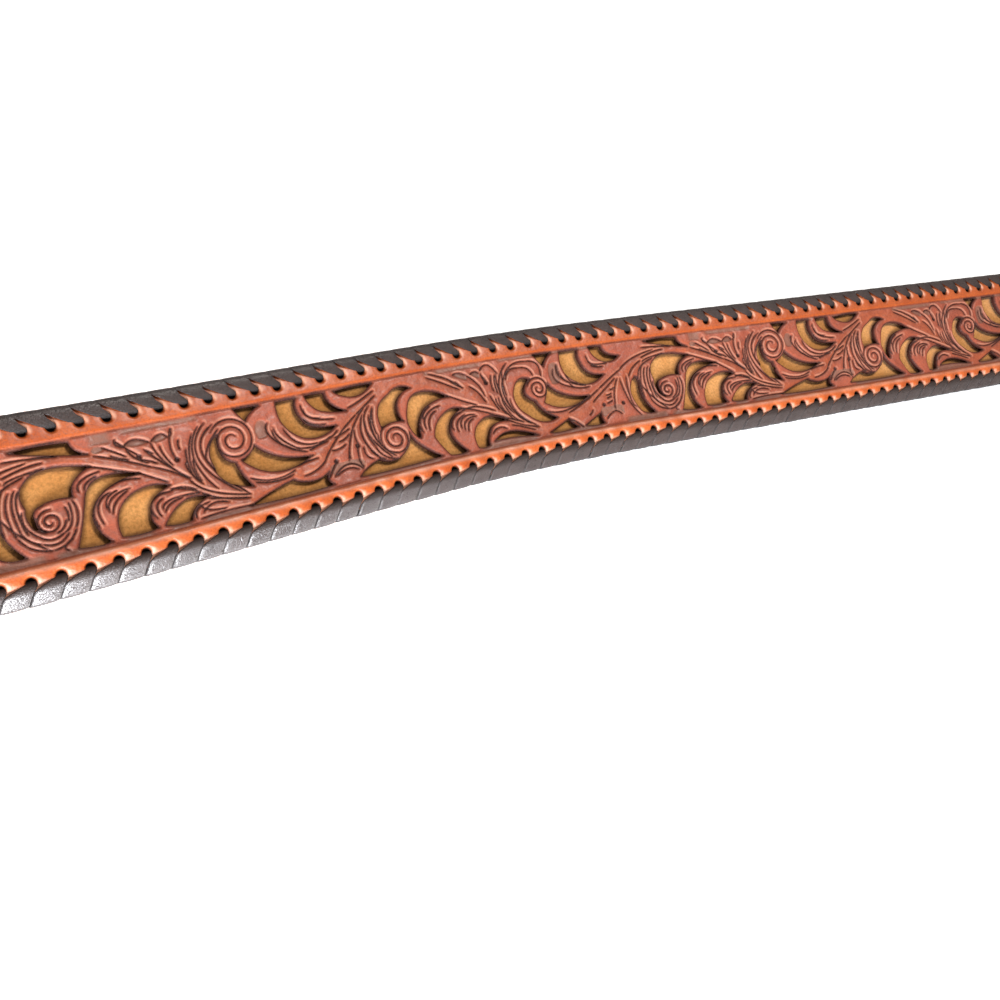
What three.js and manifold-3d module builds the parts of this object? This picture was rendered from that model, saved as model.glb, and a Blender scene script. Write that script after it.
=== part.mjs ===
// A western tooled belt, laid face up: a pierced scroll-tooled strap over an underlay strap that
// shows through it, both edges laced over, and a plain buckle held in the underlay's folded end.
// Millimetres, +Z up, X along the belt from the buckle to the tip.
import * as THREE from "three";
import { mergeVertices } from "three/addons/utils/BufferGeometryUtils.js";
import Module from "manifold-3d";

const wasm = await Module();
wasm.setup();

// Driving sizes
const CLEARANCE = 0.3;

const STRAP_LENGTH = 1060; // buckle bar to tip
const STRAP_WIDTH = 36.4; // leather alone, without the lacing
const TOP_LEATHER = 1.7;
const BASE_LEATHER = 1.8;
const TIP_TAPER = 30;
// The corner that draws each side of the tip: how far back along the taper, and how wide
const TIP_CHEEK = { back: 0.3, wide: 0.9 };

const LACE_THICKNESS = 0.7;
const STITCH_PITCH = 5.525;
const LACE_HOLE_INSET = 3.2; // leather edge to the row of lacing holes
const LACED_MARGIN = 76.6; // buckle bar to the first stitch, and to the top strap's end
const LACE_POINT = 0.6; // how far a stitch reaches in past its hole
const LACE_NOTCH = 2.4; // how deep the leather's point runs between two stitches
const LACE_LEAN = 0.96; // how far that point sits towards the tip of the belt

const PANEL_BORDER = 3; // lacing holes to the tooled panel
const PANEL_START = 88; // buckle bar to the tooled panel
const PANEL_TIP_MARGIN = 215; // tooled panel to the tip
const REPEAT = 168; // one repeat of the scrollwork
const FIRST_REPEAT = 52.7; // buckle bar to where the first repeat begins

const HOLE_COUNT = 5;
const HOLE_PITCH = 25.4;
const HOLE_RADIUS = 2.5;
const HOLE_TIP_MARGIN = 95; // tip to the nearest buckle hole

const BAR_RADIUS = 2; // round rod of the buckle, its bar included
const BUCKLE_REACH = 26; // bar to the outer rod, centre to centre
const BUCKLE_SIDE_GAP = 1.4; // folded strap to the buckle's side rods
const BUCKLE_CORNER = 8;
const BAR_CORNER = 2.6;
const PRONG_WIDTH = 4;
const PRONG_THICKNESS = 2.6;
const PRONG_RING = 3.4; // radius of the prong's root round the bar
// The prong's side view as shares: where its back straightens, where its belly starts to rest on
// the outer rod, and how thick its point is
const PRONG_SHAPE = { back: 0.55, belly: 0.6, point: 0.45 };

const FOLD_RAMP = 34; // length over which the two runs open round the bar
const FLAP_LENGTH = 72; // buckle bar to the end of the turned-back flap
const SLOT_WIDTH = 6;
const SLOT_REACH = 10; // how far the prong's slot runs along each run from the bar
const POST_SPACING = 17;
const FIRST_POST = 43; // buckle bar to the nearer post
const POST_RADIUS = 2.2;
const POST_HEAD_RADIUS = 4.5;
const POST_HEAD = 1.4;

const STATION_COUNT = 22; // facets along the bent stretch
const RAMP_STEPS = 5; // facets of each ramp beside the bar, and of the wrap round it
const WRAP_STEPS = 8;
const CURVE_ERROR = 0.25; // largest flat across a curved outline

// Sizes worked out from them
const HALF_WIDTH = STRAP_WIDTH / 2;
const PANEL_HALF = HALF_WIDTH - LACE_HOLE_INSET - PANEL_BORDER;
const PANEL_END = STRAP_LENGTH - PANEL_TIP_MARGIN;
const BASE_TOP = -TOP_LEATHER - CLEARANCE; // heights are from the top strap's upper face
const BASE_BOTTOM = BASE_TOP - BASE_LEATHER;
const BASE_MIDDLE = (BASE_TOP + BASE_BOTTOM) / 2;
const LACE_TOP = CLEARANCE;
const LACE_BOTTOM = BASE_BOTTOM - CLEARANCE;
const FLAP_TOP = BASE_BOTTOM - CLEARANCE;
const FLAP_BOTTOM = FLAP_TOP - BASE_LEATHER;
const FLAP_MIDDLE = (FLAP_TOP + FLAP_BOTTOM) / 2;
const BAR_HEIGHT = (BASE_BOTTOM + FLAP_TOP) / 2;
const WRAP_RADIUS = BAR_RADIUS + CLEARANCE + BASE_LEATHER / 2;
const FOLD_BOTTOM = BAR_HEIGHT - WRAP_RADIUS - BASE_LEATHER / 2;
const POST_BOTTOM = FLAP_BOTTOM - CLEARANCE - POST_HEAD;
// How far the buckle end stands above the laced stretch when both touch the ground
const BUCKLE_END_LIFT = LACE_BOTTOM - LACE_THICKNESS - Math.min(FOLD_BOTTOM, POST_BOTTOM);

// How the belt lies. share: of the strap's length, from the buckle bar. slope: degrees that it
// climbs towards the buckle. fall: share of the steepness that brings the buckle end back down.
// roll: degrees that the far edge is raised. heading: degrees that it turns towards the far side.
const LIE = [
  { share: 0.0, slope: 0, fall: 0, roll: 0, heading: 0 },
  { share: 0.075, slope: 0, fall: 0, roll: 0, heading: 0 },
  { share: 0.17, slope: 0, fall: 1, roll: 0, heading: 0.5 },
  { share: 0.236, slope: 0, fall: 1, roll: 0.5, heading: 2 },
  { share: 0.292, slope: 0, fall: 0, roll: 1, heading: 4 },
  { share: 0.326, slope: 8, fall: 0, roll: 1.2, heading: 4.8 },
  { share: 0.356, slope: 11.3, fall: 0, roll: 1.2, heading: 5 },
  { share: 0.398, slope: 11.3, fall: 0, roll: -0.3, heading: 5.7 },
  { share: 0.429, slope: 10.5, fall: 0, roll: -1.7, heading: 5.8 },
  { share: 0.455, slope: 9, fall: 0, roll: -2.7, heading: 4.7 },
  { share: 0.481, slope: 6.5, fall: 0, roll: -2.6, heading: 2.7 },
  { share: 0.507, slope: 4.2, fall: 0, roll: -1.6, heading: 1 },
  { share: 0.528, slope: 0, fall: 0, roll: 0, heading: 0 },
  { share: 1.0, slope: 0, fall: 0, roll: 0, heading: 0 },
];

// The openings of one repeat of the scrollwork, charted on a grid: CHART_ALONG squares to the
// repeat and CHART_ACROSS squares from the middle to each side of the panel. An outline begins
// at start, and each side is through_u, through_v, to_u, to_v. The last side leads back.
const CHART_ALONG = 168;
const CHART_ACROSS = 12;
const GAPS = [
  {
    name: "leaf tip sliver",
    start: [-3.3, 11.2],
    sides: [[2.3, 11.7, 8, 11.4], [8.9, 9.4, 11.1, 8], [3.7, 9.4, -3.3, 11.2]],
  },
  {
    name: "over low scroll",
    start: [-3.3, -0.2],
    sides: [[-3.2, 3, -1.8, 5], [3, 6.8, 10.8, 5.5], [7.3, 3.2, 6.3, -0.1], [1.5, 0.4, -3.3, -0.2]],
  },
  {
    name: "crescent after low scroll",
    start: [5.2, -10.7],
    sides: [
      [7.2, -5.4, 8.6, -0.9],
      [12.4, 2.8, 20, 1.9],
      [14, 0.6, 10.3, -2.3],
      [9.2, -6.5, 11.6, -11.1],
      [8.4, -11.1, 5.2, -10.7],
    ],
  },
  {
    name: "between low leaves",
    start: [13.8, -10.6],
    sides: [
      [14.2, -5.6, 17.6, -2.2],
      [21.6, -1.2, 25.6, -2.1],
      [21.9, -4, 20.6, -6.4],
      [20.3, -8.6, 21.2, -10.6],
      [17.5, -10.9, 13.8, -10.6],
    ],
  },
  {
    name: "last low leaf",
    start: [22.7, -10.5],
    sides: [[25.5, -7.5, 28.8, -5.9], [31, -5.9, 32.9, -6.4], [29.8, -8.2, 28.4, -10.8], [25.5, -10.9, 22.7, -10.5]],
  },
  {
    name: "notch at high scroll",
    start: [43.6, 11.6],
    sides: [[46.5, 11.7, 49.6, 11.5], [47, 10, 45.6, 8.4], [44.6, 9.9, 43.6, 11.6]],
  },
  {
    name: "inside high scroll",
    start: [38.4, 6.6],
    sides: [[36, 3.6, 36.1, -0.6], [38, -4.4, 43.3, -6.7], [41.8, -3.6, 41, -0.4], [38.5, 1.8, 38.4, 6.6]],
  },
  {
    name: "below high scroll",
    start: [42.4, -0.3],
    sides: [[44.7, 0.8, 46.2, 2.6], [51.4, -1.3, 58.9, -2.9], [49.6, -4.7, 42.4, -0.3]],
  },
  {
    name: "tall crescent",
    start: [53.8, 11.5],
    sides: [
      [54.3, 5.6, 58.4, 1.6],
      [62.8, 1.2, 67, 3],
      [61.8, 3.8, 59.2, 6],
      [58.2, 9, 58.8, 11.6],
      [56, 11.6, 53.8, 11.5],
    ],
  },
  {
    name: "short crescent",
    start: [61.2, 11.6],
    sides: [[62.7, 8.4, 65.5, 6.8], [68, 6.2, 70.6, 6], [67.4, 8.3, 66.4, 11.6], [64, 11.7, 61.2, 11.6]],
  },
  {
    name: "edge sliver",
    start: [68.8, 11.2],
    sides: [[74, 11.7, 79.2, 11.6], [75.6, 9.4, 72, 9.4], [70, 10.2, 68.8, 11.2]],
  },
  {
    name: "under high stem",
    start: [41.8, -10.9],
    sides: [
      [47, -9, 53, -7.5],
      [54.8, -8.4, 57, -8.9],
      [59.6, -8.7, 61.8, -7.7],
      [61.2, -9.5, 62.2, -11],
      [52, -11.2, 41.8, -10.9],
    ],
  },
  {
    name: "over second low scroll",
    start: [78.6, 0],
    sides: [
      [79, 4.8, 82.8, 7.9],
      [86, 9.4, 89.2, 8.5],
      [86.2, 7.4, 84.3, 5],
      [84.1, 2.4, 84.7, 0.4],
      [81.8, 0.7, 78.6, 0],
    ],
  },
  {
    name: "under second low scroll",
    start: [69.3, -10.8],
    sides: [
      [72.4, -8.8, 75.6, -7.8],
      [79.6, -8.9, 83.2, -7.2],
      [84.8, -5.4, 85.5, -2.8],
      [87.6, -6.5, 92.6, -10.7],
      [81, -11, 69.3, -10.8],
    ],
  },
  {
    name: "inner crescent",
    start: [87.6, -4.6],
    sides: [
      [86, -0.8, 87, 3.6],
      [88.9, 6.2, 92.2, 7.1],
      [96, 6.3, 98.9, 4.3],
      [95.3, 4, 92, 2.8],
      [89.4, -0.3, 88.4, -4.2],
      [88.1, -4.8, 87.6, -4.6],
    ],
  },
  {
    name: "middle crescent",
    start: [95.1, -10.9],
    sides: [
      [93.4, -8.2, 92.2, -5.6],
      [93.8, -2.1, 97.4, 0.5],
      [99.8, 1.1, 102.1, 0.5],
      [99.2, -1, 97.3, -3.7],
      [97.4, -6.8, 100.3, -11],
      [97.6, -11.2, 95.1, -10.9],
    ],
  },
  {
    name: "outer crescent",
    start: [103.8, -10.8],
    sides: [
      [104, -6.4, 107.4, -3.4],
      [110.9, -3.2, 114.5, -5.1],
      [110.4, -5.4, 108.3, -7.6],
      [107.6, -9, 107.3, -10.7],
      [105.6, -11, 103.8, -10.8],
    ],
  },
  {
    name: "low slit",
    start: [109, -10],
    sides: [[115, -8.2, 122.8, -10.8], [115.8, -10, 109, -10]],
  },
  {
    name: "notch at second high scroll",
    start: [127.8, 11.6],
    sides: [[130.6, 11.7, 133.5, 11.6], [131.3, 9.9, 130, 8], [128.8, 9.9, 127.8, 11.6]],
  },
  {
    name: "inside second high scroll",
    start: [124.7, 5.2],
    sides: [
      [121.4, 5.4, 118.9, 2.4],
      [118.8, -1.5, 121.6, -5],
      [125.8, -7.4, 130.3, -6.9],
      [126.9, -4.4, 124.9, -1.3],
      [122.2, 1.8, 124.7, 5.2],
    ],
  },
  {
    name: "below second high scroll",
    start: [127.6, -2.2],
    sides: [[129, 0.3, 130, 3.2], [134.4, -0.6, 142.4, -2.3], [134.6, -4.5, 127.6, -2.2]],
  },
  {
    name: "second tall crescent",
    start: [136.3, 11.5],
    sides: [
      [136.1, 6, 139.4, 2.2],
      [143.8, 1.1, 148.9, 3.2],
      [144.5, 4.3, 142.4, 7.4],
      [141.9, 9.6, 142.3, 11.6],
      [139.3, 11.6, 136.3, 11.5],
    ],
  },
  {
    name: "second short crescent",
    start: [146, 11.6],
    sides: [[147.4, 8.6, 150.2, 6.9], [152.8, 6.8, 155.3, 8.1], [151.6, 9.3, 150.2, 11.6], [148, 11.7, 146, 11.6]],
  },
  {
    name: "under second high stem",
    start: [126.8, -10.8],
    sides: [[130.2, -9.4, 134, -7.9], [135, -9.3, 136.5, -10.6], [131.5, -11, 126.8, -10.8]],
  },
  {
    name: "notch under stem",
    start: [138.8, -10.6],
    sides: [[142, -9.1, 145.1, -7.7], [144.9, -9.4, 145.4, -10.9], [142, -11, 138.8, -10.6]],
  },
  {
    name: "crescent before low scroll",
    start: [159, 1.2],
    sides: [[156.6, -3.2, 158.4, -8.4], [160.2, -9.9, 163.6, -10.2], [160.6, -5.6, 160.2, -2], [160, 0.3, 159, 1.2]],
  },
];

const radians = THREE.MathUtils.degToRad;
const between = (low, high, share) => low + (high - low) * share;
const ease = (share) => share * share * (3 - 2 * share);

// The row of LIE at one share of the strap, straight between its neighbours
function lieAt(share) {
  const last = Math.max(1, LIE.findIndex((row) => row.share >= share));
  const [a, b] = [LIE[last - 1], LIE[last]];
  const part = (share - a.share) / (b.share - a.share);
  const value = (key) => between(a[key], b[key], part);
  return { slope: value("slope"), fall: value("fall"), roll: value("roll"), heading: value("heading") };
}

// One step of the strap's path: the frame along, across and up at a distance from the buckle bar
function frameAt(distance, fall) {
  const lie = lieAt(distance / STRAP_LENGTH);
  const slope = radians(lie.slope - fall * lie.fall);
  const heading = radians(lie.heading);
  const level = Math.cos(slope);
  const along = new THREE.Vector3(level * Math.cos(heading), level * Math.sin(heading), -Math.sin(slope));
  const side = new THREE.Vector3(-Math.sin(heading), Math.cos(heading), 0);
  const roll = radians(lie.roll);
  const across = side.clone().applyAxisAngle(along, roll);
  const up = along.clone().cross(across);
  return { along, across, up };
}

// The whole path in steps, from the tip, which lies flat, back to the bar
function walk(fall, steps) {
  const path = [];
  const place = new THREE.Vector3(STRAP_LENGTH, 0, 0);
  for (let i = steps; i >= 0; i -= 1) {
    path[i] = { ...frameAt((STRAP_LENGTH * i) / steps, fall), place: place.clone() };
    const middle = frameAt((STRAP_LENGTH * Math.max(0, i - 0.5)) / steps, fall);
    place.addScaledVector(middle.along, -STRAP_LENGTH / steps);
  }
  return path;
}

// The fall that sets the buckle end down on its fold, by halving
const ROUGH_STEPS = 250;
function steepness() {
  let [low, high] = [0, 45];
  for (let i = 0; i < 40; i += 1) {
    const fall = (low + high) / 2;
    if (walk(fall, ROUGH_STEPS)[0].place.z > BUCKLE_END_LIFT) low = fall;
    else high = fall;
  }
  return low;
}

// The path at a distance from the bar, straight between its steps
const PATH_STEPS = 1060;
const PATH = walk(steepness(), PATH_STEPS);
function onPath(distance) {
  const reached = (distance / STRAP_LENGTH) * PATH_STEPS;
  const step = Math.min(PATH_STEPS - 1, Math.floor(reached));
  const mixed = (key) => PATH[step][key].clone().lerp(PATH[step + 1][key], reached - step);
  return { distance, place: mixed("place"), along: mixed("along"), across: mixed("across"), up: mixed("up") };
}

// Stations stand where the bent stretch is faceted, and every piece turns at the same ones.
const BENT = [LIE[1].share * STRAP_LENGTH, LIE[LIE.length - 2].share * STRAP_LENGTH];
const STATIONS = Array.from({ length: STATION_COUNT + 1 }, (_, i) => between(...BENT, i / STATION_COUNT));
const KNOTS = [0, ...STATIONS, STRAP_LENGTH].map(onPath);

// A point of the laid belt from its flat coordinates: distance along, across, height over the face
function lay(distance, across, height) {
  const reached = Math.min(distance, STRAP_LENGTH);
  const next = Math.max(1, KNOTS.findIndex((knot) => knot.distance >= reached));
  const [a, b] = [KNOTS[next - 1], KNOTS[next]];
  const part = (distance - a.distance) / (b.distance - a.distance);
  const mixed = (key) => a[key].clone().lerp(b[key], part);
  return mixed("place").addScaledVector(mixed("across"), across).addScaledVector(mixed("up"), height);
}

// Flat bodies, made in the strap's own plane and then bent

// A closed geometry as a solid that can be joined and cut
function solid(geometry) {
  const bare = geometry.clone();
  bare.deleteAttribute("normal");
  bare.deleteAttribute("uv");
  const merged = mergeVertices(bare, 1e-4);
  return new wasm.Manifold(new wasm.Mesh({
    numProp: 3,
    vertProperties: merged.getAttribute("position").array,
    triVerts: new Uint32Array(merged.index.array),
  }));
}

// The corners of a solid's triangles, three to a triangle
function cornersOf(body) {
  const { vertProperties, triVerts, numProp } = body.getMesh();
  return Array.from(triVerts, (i) => Array.from(vertProperties.slice(i * numProp, i * numProp + 3)));
}

function geometryFrom(corners) {
  const geometry = new THREE.BufferGeometry();
  geometry.setAttribute("position", new THREE.Float32BufferAttribute(corners.flat(), 3));
  geometry.computeVertexNormals();
  return geometry;
}

// An upright prism over an outline in the strap's plane
function prism(outline, low, high) {
  const shape = new THREE.Shape(outline);
  const geometry = new THREE.ExtrudeGeometry(shape, { depth: high - low, bevelEnabled: false });
  return solid(geometry.translate(0, 0, low));
}

// A plate of an outline with openings cut through it
function plate(outline, openings, low, high) {
  const cutters = openings.map((opening) => prism(opening, low - 1, high + 1));
  return cutters.reduce((left, cutter) => left.subtract(cutter), prism(outline, low, high));
}

// Triangles whose edges on a line are divided wherever another bay has a corner on that line, so
// that the bays on both sides of it share every corner
function sewn(triangles, axis, line) {
  const near = 1e-3;
  const isOn = (corner) => Math.abs(corner[axis] - line) < near;
  const name = (corner) => corner.map((value) => value.toFixed(3)).join();
  const marks = new Map(triangles.flat().filter(isOn).map((corner) => [name(corner), corner]));
  return triangles.flatMap((triangle) => {
    const k = [0, 1, 2].find((i) => isOn(triangle[i]) && isOn(triangle[(i + 1) % 3]));
    if (k === undefined) return [triangle];
    const [from, to, apex] = [triangle[k], triangle[(k + 1) % 3], triangle[(k + 2) % 3]];
    const length = Math.hypot(...to.map((value, i) => value - from[i]));
    const steps = [...marks.values()].map((mark) => {
      const share = mark.reduce((sum, value, i) => sum + (value - from[i]) * (to[i] - from[i]), 0) / length ** 2;
      const off = Math.hypot(...mark.map((value, i) => value - between(from[i], to[i], share)));
      return { share, off, mark };
    });
    const inside = (step) => step.off < near && step.share * length > near && (1 - step.share) * length > near;
    const chain = [from, ...steps.filter(inside).sort((p, q) => p.share - q.share).map((step) => step.mark), to];
    return chain.slice(1).map((corner, i) => [chain[i], corner, apex]);
  });
}

// A flat body's triangles, divided along lines so that it can bend there. Each bay between lines
// is cut out by itself, and the walls that this makes on the lines are left off.
function inBays(body, alongLines, acrossLines = []) {
  const far = 2 * STRAP_LENGTH;
  const spans = (lines) => {
    const ordered = [-far, ...[...lines].sort((a, b) => a - b), far];
    return ordered.slice(1).map((high, i) => [ordered[i], high]);
  };
  const onLine = (triangle) => [alongLines, acrossLines].some((lines, axis) => {
    return lines.some((line) => triangle.every((corner) => Math.abs(corner[axis] - line) < 1e-3));
  });
  let triangles = [];
  for (const [x0, x1] of spans(alongLines)) {
    for (const [y0, y1] of spans(acrossLines)) {
      const window = [[x0, y0], [x1, y0], [x1, y1], [x0, y1]].map((point) => new THREE.Vector2(...point));
      const bay = cornersOf(body.intersect(prism(window, -far, far)));
      for (let i = 0; i < bay.length; i += 3) triangles.push(bay.slice(i, i + 3));
    }
  }
  triangles = triangles.filter((triangle) => !onLine(triangle));
  [alongLines, acrossLines].forEach((lines, axis) => {
    for (const line of lines) triangles = sewn(triangles, axis, line);
  });
  return triangles.flat();
}

const bent = (corners, bend) => geometryFrom(corners.map((corner) => bend(...corner).toArray()));

// Outlines

// Points of the curve from one corner through a middle point to the next, without the first
function curve(from, through, to) {
  const control = through.map((value, i) => 2 * value - (from[i] + to[i]) / 2);
  const sag = Math.hypot(...through.map((value, i) => value - (from[i] + to[i]) / 2));
  const pieces = Math.max(1, Math.ceil(Math.sqrt(sag / CURVE_ERROR)));
  const line = new THREE.QuadraticBezierCurve(...[from, control, to].map((point) => new THREE.Vector2(...point)));
  return line.getPoints(pieces).slice(1);
}

// One charted gap in millimetres, for the repeat that begins at a distance from the bar
function gapOutline(gap, begin) {
  const place = (u, v) => [begin + (u * REPEAT) / CHART_ALONG, (v * PANEL_HALF) / CHART_ACROSS];
  const points = [];
  let from = place(...gap.start);
  for (const [throughU, throughV, toU, toV] of gap.sides) {
    const to = place(toU, toV);
    points.push(...curve(from, place(throughU, throughV), to));
    from = to;
  }
  return points;
}

// Every gap that lies wholly on the tooled panel
function panelGaps() {
  const outlines = [];
  for (let begin = FIRST_REPEAT - REPEAT; begin < PANEL_END + REPEAT; begin += REPEAT) {
    outlines.push(...GAPS.map((gap) => gapOutline(gap, begin)));
  }
  const inside = (point) => point.x > PANEL_START + CLEARANCE && point.x < PANEL_END - CLEARANCE;
  return outlines.filter((outline) => outline.every(inside));
}

function circle(x, y, radius, sides = 12) {
  const turn = (i) => (2 * Math.PI * i) / sides;
  return Array.from({ length: sides }, (_, i) => {
    return new THREE.Vector2(x + radius * Math.cos(turn(i)), y + radius * Math.sin(turn(i)));
  });
}

// A strap outline from a square start to the pointed tip
function strapOutline(begin) {
  const side = (half) => new THREE.QuadraticBezierCurve(
    new THREE.Vector2(STRAP_LENGTH - TIP_TAPER, half),
    new THREE.Vector2(STRAP_LENGTH - TIP_TAPER * TIP_CHEEK.back, half * TIP_CHEEK.wide),
    new THREE.Vector2(STRAP_LENGTH, 0),
  ).getPoints(6);
  return [
    new THREE.Vector2(begin, -HALF_WIDTH),
    ...side(-HALF_WIDTH),
    ...side(HALF_WIDTH).reverse().slice(1),
    new THREE.Vector2(begin, HALF_WIDTH),
  ];
}

const buckleHoles = () => Array.from({ length: HOLE_COUNT }, (_, i) => {
  return circle(STRAP_LENGTH - HOLE_TIP_MARGIN - i * HOLE_PITCH, 0, HOLE_RADIUS);
});

// The fold round the buckle bar: the underlay's middle line in the upright plane, from the open
// run over the bar and back under it, each point with its length along the leather
function foldLine() {
  const points = [];
  for (let i = 0; i <= RAMP_STEPS; i += 1) {
    const share = i / RAMP_STEPS;
    const height = between(BASE_MIDDLE, BAR_HEIGHT + WRAP_RADIUS, ease(share));
    points.push({ x: FOLD_RAMP * (1 - share), z: height });
  }
  for (let i = 1; i < WRAP_STEPS; i += 1) {
    const turn = Math.PI / 2 + (Math.PI * i) / WRAP_STEPS;
    points.push({ x: WRAP_RADIUS * Math.cos(turn), z: BAR_HEIGHT + WRAP_RADIUS * Math.sin(turn) });
  }
  for (let i = 0; i <= RAMP_STEPS; i += 1) {
    const share = i / RAMP_STEPS;
    points.push({ x: FOLD_RAMP * share, z: between(BAR_HEIGHT - WRAP_RADIUS, FLAP_MIDDLE, ease(share)) });
  }
  points.push({ x: FLAP_LENGTH, z: FLAP_MIDDLE });
  let distance = FOLD_RAMP;
  points.forEach((point, i) => {
    if (i) distance -= Math.hypot(point.x - points[i - 1].x, point.z - points[i - 1].z);
    point.distance = distance;
  });
  points.forEach((point, i) => {
    const [a, b] = [points[Math.max(0, i - 1)], points[Math.min(points.length - 1, i + 1)]];
    const length = Math.hypot(b.x - a.x, b.z - a.z);
    point.normal = [-(a.z - b.z) / length, (a.x - b.x) / length];
  });
  points[0].normal = [0, 1];
  points[points.length - 1].normal = [0, -1];
  return points;
}

const FOLD = foldLine();
const FLAP_END = FOLD[FOLD.length - 1].distance;
const FLAP_START = FOLD[FOLD.length - 2].distance;
// The leather's own distance at a place on the flap that lies under the open run
const onFlap = (x) => FLAP_START - (x - FOLD_RAMP);

// The underlay's bend: the laid belt, and past the ramp the fold round the bar
function layBase(distance, across, height) {
  if (distance >= FOLD_RAMP) return lay(distance, across, height);
  const next = Math.max(1, FOLD.findIndex((point) => point.distance <= distance + 1e-3));
  const [a, b] = [FOLD[next - 1], FOLD[next]];
  const part = (a.distance - distance) / (a.distance - b.distance);
  const off = height - BASE_MIDDLE;
  const x = between(a.x + off * a.normal[0], b.x + off * b.normal[0], part);
  const z = between(a.z + off * a.normal[1], b.z + off * b.normal[1], part);
  const start = KNOTS[0];
  return start.place.clone().addScaledVector(start.along, x)
    .addScaledVector(start.across, across).addScaledVector(start.up, z);
}

// Pieces

function mesh(name, geometry, colour, roughness, metalness) {
  const piece = new THREE.Mesh(geometry, new THREE.MeshStandardMaterial({ color: colour, roughness, metalness }));
  piece.name = name;
  return piece;
}

function topLeather() {
  const openings = [...panelGaps(), ...buckleHoles()];
  const body = plate(strapOutline(LACED_MARGIN), openings, -TOP_LEATHER, 0);
  return mesh("top_leather", bent(inBays(body, STATIONS), lay), 0xb5623f, 0.42, 0);
}

function baseLeather() {
  const [wrapStart, wrapEnd] = [FOLD[RAMP_STEPS].distance, FOLD[RAMP_STEPS + WRAP_STEPS].distance];
  const wrapMiddle = (wrapStart + wrapEnd) / 2;
  const slotHalf = wrapStart - wrapMiddle + SLOT_REACH;
  const slot = [];
  for (const [end, from] of [[1, -Math.PI / 2], [-1, Math.PI / 2]]) {
    for (let i = 0; i <= 4; i += 1) {
      const turn = from + (Math.PI * i) / 4;
      const x = wrapMiddle + end * (slotHalf - SLOT_WIDTH / 2) + (SLOT_WIDTH / 2) * Math.cos(turn);
      slot.push(new THREE.Vector2(x, (SLOT_WIDTH / 2) * Math.sin(turn)));
    }
  }
  const posts = postPlaces().flatMap((x) => [x, onFlap(x)].map((at) => circle(at, 0, POST_RADIUS + CLEARANCE)));
  const openings = [slot, ...posts, ...buckleHoles()];
  const body = plate(strapOutline(FLAP_END), openings, BASE_BOTTOM, BASE_TOP);
  const lines = [...FOLD.slice(0, -1).map((point) => point.distance), ...STATIONS];
  return mesh("base_leather", bent(inBays(body, lines), layBase), 0xb98a3c, 0.9, 0);
}

// One edge's lacing: a strip folded over the edge, its upper rim drawn into a point at each hole
function lacing(name, side, shift) {
  const holes = HALF_WIDTH - LACE_HOLE_INSET;
  const inner = holes - LACE_POINT;
  const notch = LACE_NOTCH + LACE_POINT;
  const outer = HALF_WIDTH + CLEARANCE;
  // The folded strip's own width, measured in from its upper rim
  const turnDown = outer - inner;
  const turnBack = turnDown + LACE_TOP - LACE_BOTTOM;
  const width = turnBack + turnDown;
  const end = STRAP_LENGTH - TIP_TAPER;
  const stitches = Math.floor((end - LACED_MARGIN - STITCH_PITCH) / STITCH_PITCH);
  const points = [new THREE.Vector2(LACED_MARGIN, width), new THREE.Vector2(LACED_MARGIN, notch)];
  for (let i = 0; i < stitches; i += 1) {
    const hole = LACED_MARGIN + STITCH_PITCH * (i + 0.5 + shift);
    points.push(new THREE.Vector2(hole, 0));
    points.push(new THREE.Vector2(hole + LACE_LEAN, notch));
  }
  points.push(new THREE.Vector2(end, notch), new THREE.Vector2(end, width));
  const corners = inBays(prism(points, 0, LACE_THICKNESS), STATIONS, [turnDown, turnBack]);
  const fold = (distance, across, thick) => {
    if (across <= turnDown + 1e-4) {
      const reach = across >= turnDown - 1e-4 ? thick : 0;
      return lay(distance, side * (inner + Math.min(across, turnDown) + reach), LACE_TOP + thick);
    }
    if (across < turnBack - 1e-4) {
      return lay(distance, side * (outer + thick), LACE_TOP - (across - turnDown));
    }
    const reach = across <= turnBack + 1e-4 ? thick : 0;
    return lay(distance, side * (outer - (across - turnBack) + reach), LACE_BOTTOM - thick);
  };
  // The strip's flat order turns inside out on the far side, so its faces are turned back
  const facing = side > 0 ? corners : corners.map((_, i) => corners[i - (i % 3) + [0, 2, 1][i % 3]]);
  return mesh(name, bent(facing, fold), 0x3c332f, 0.55, 0);
}

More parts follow.
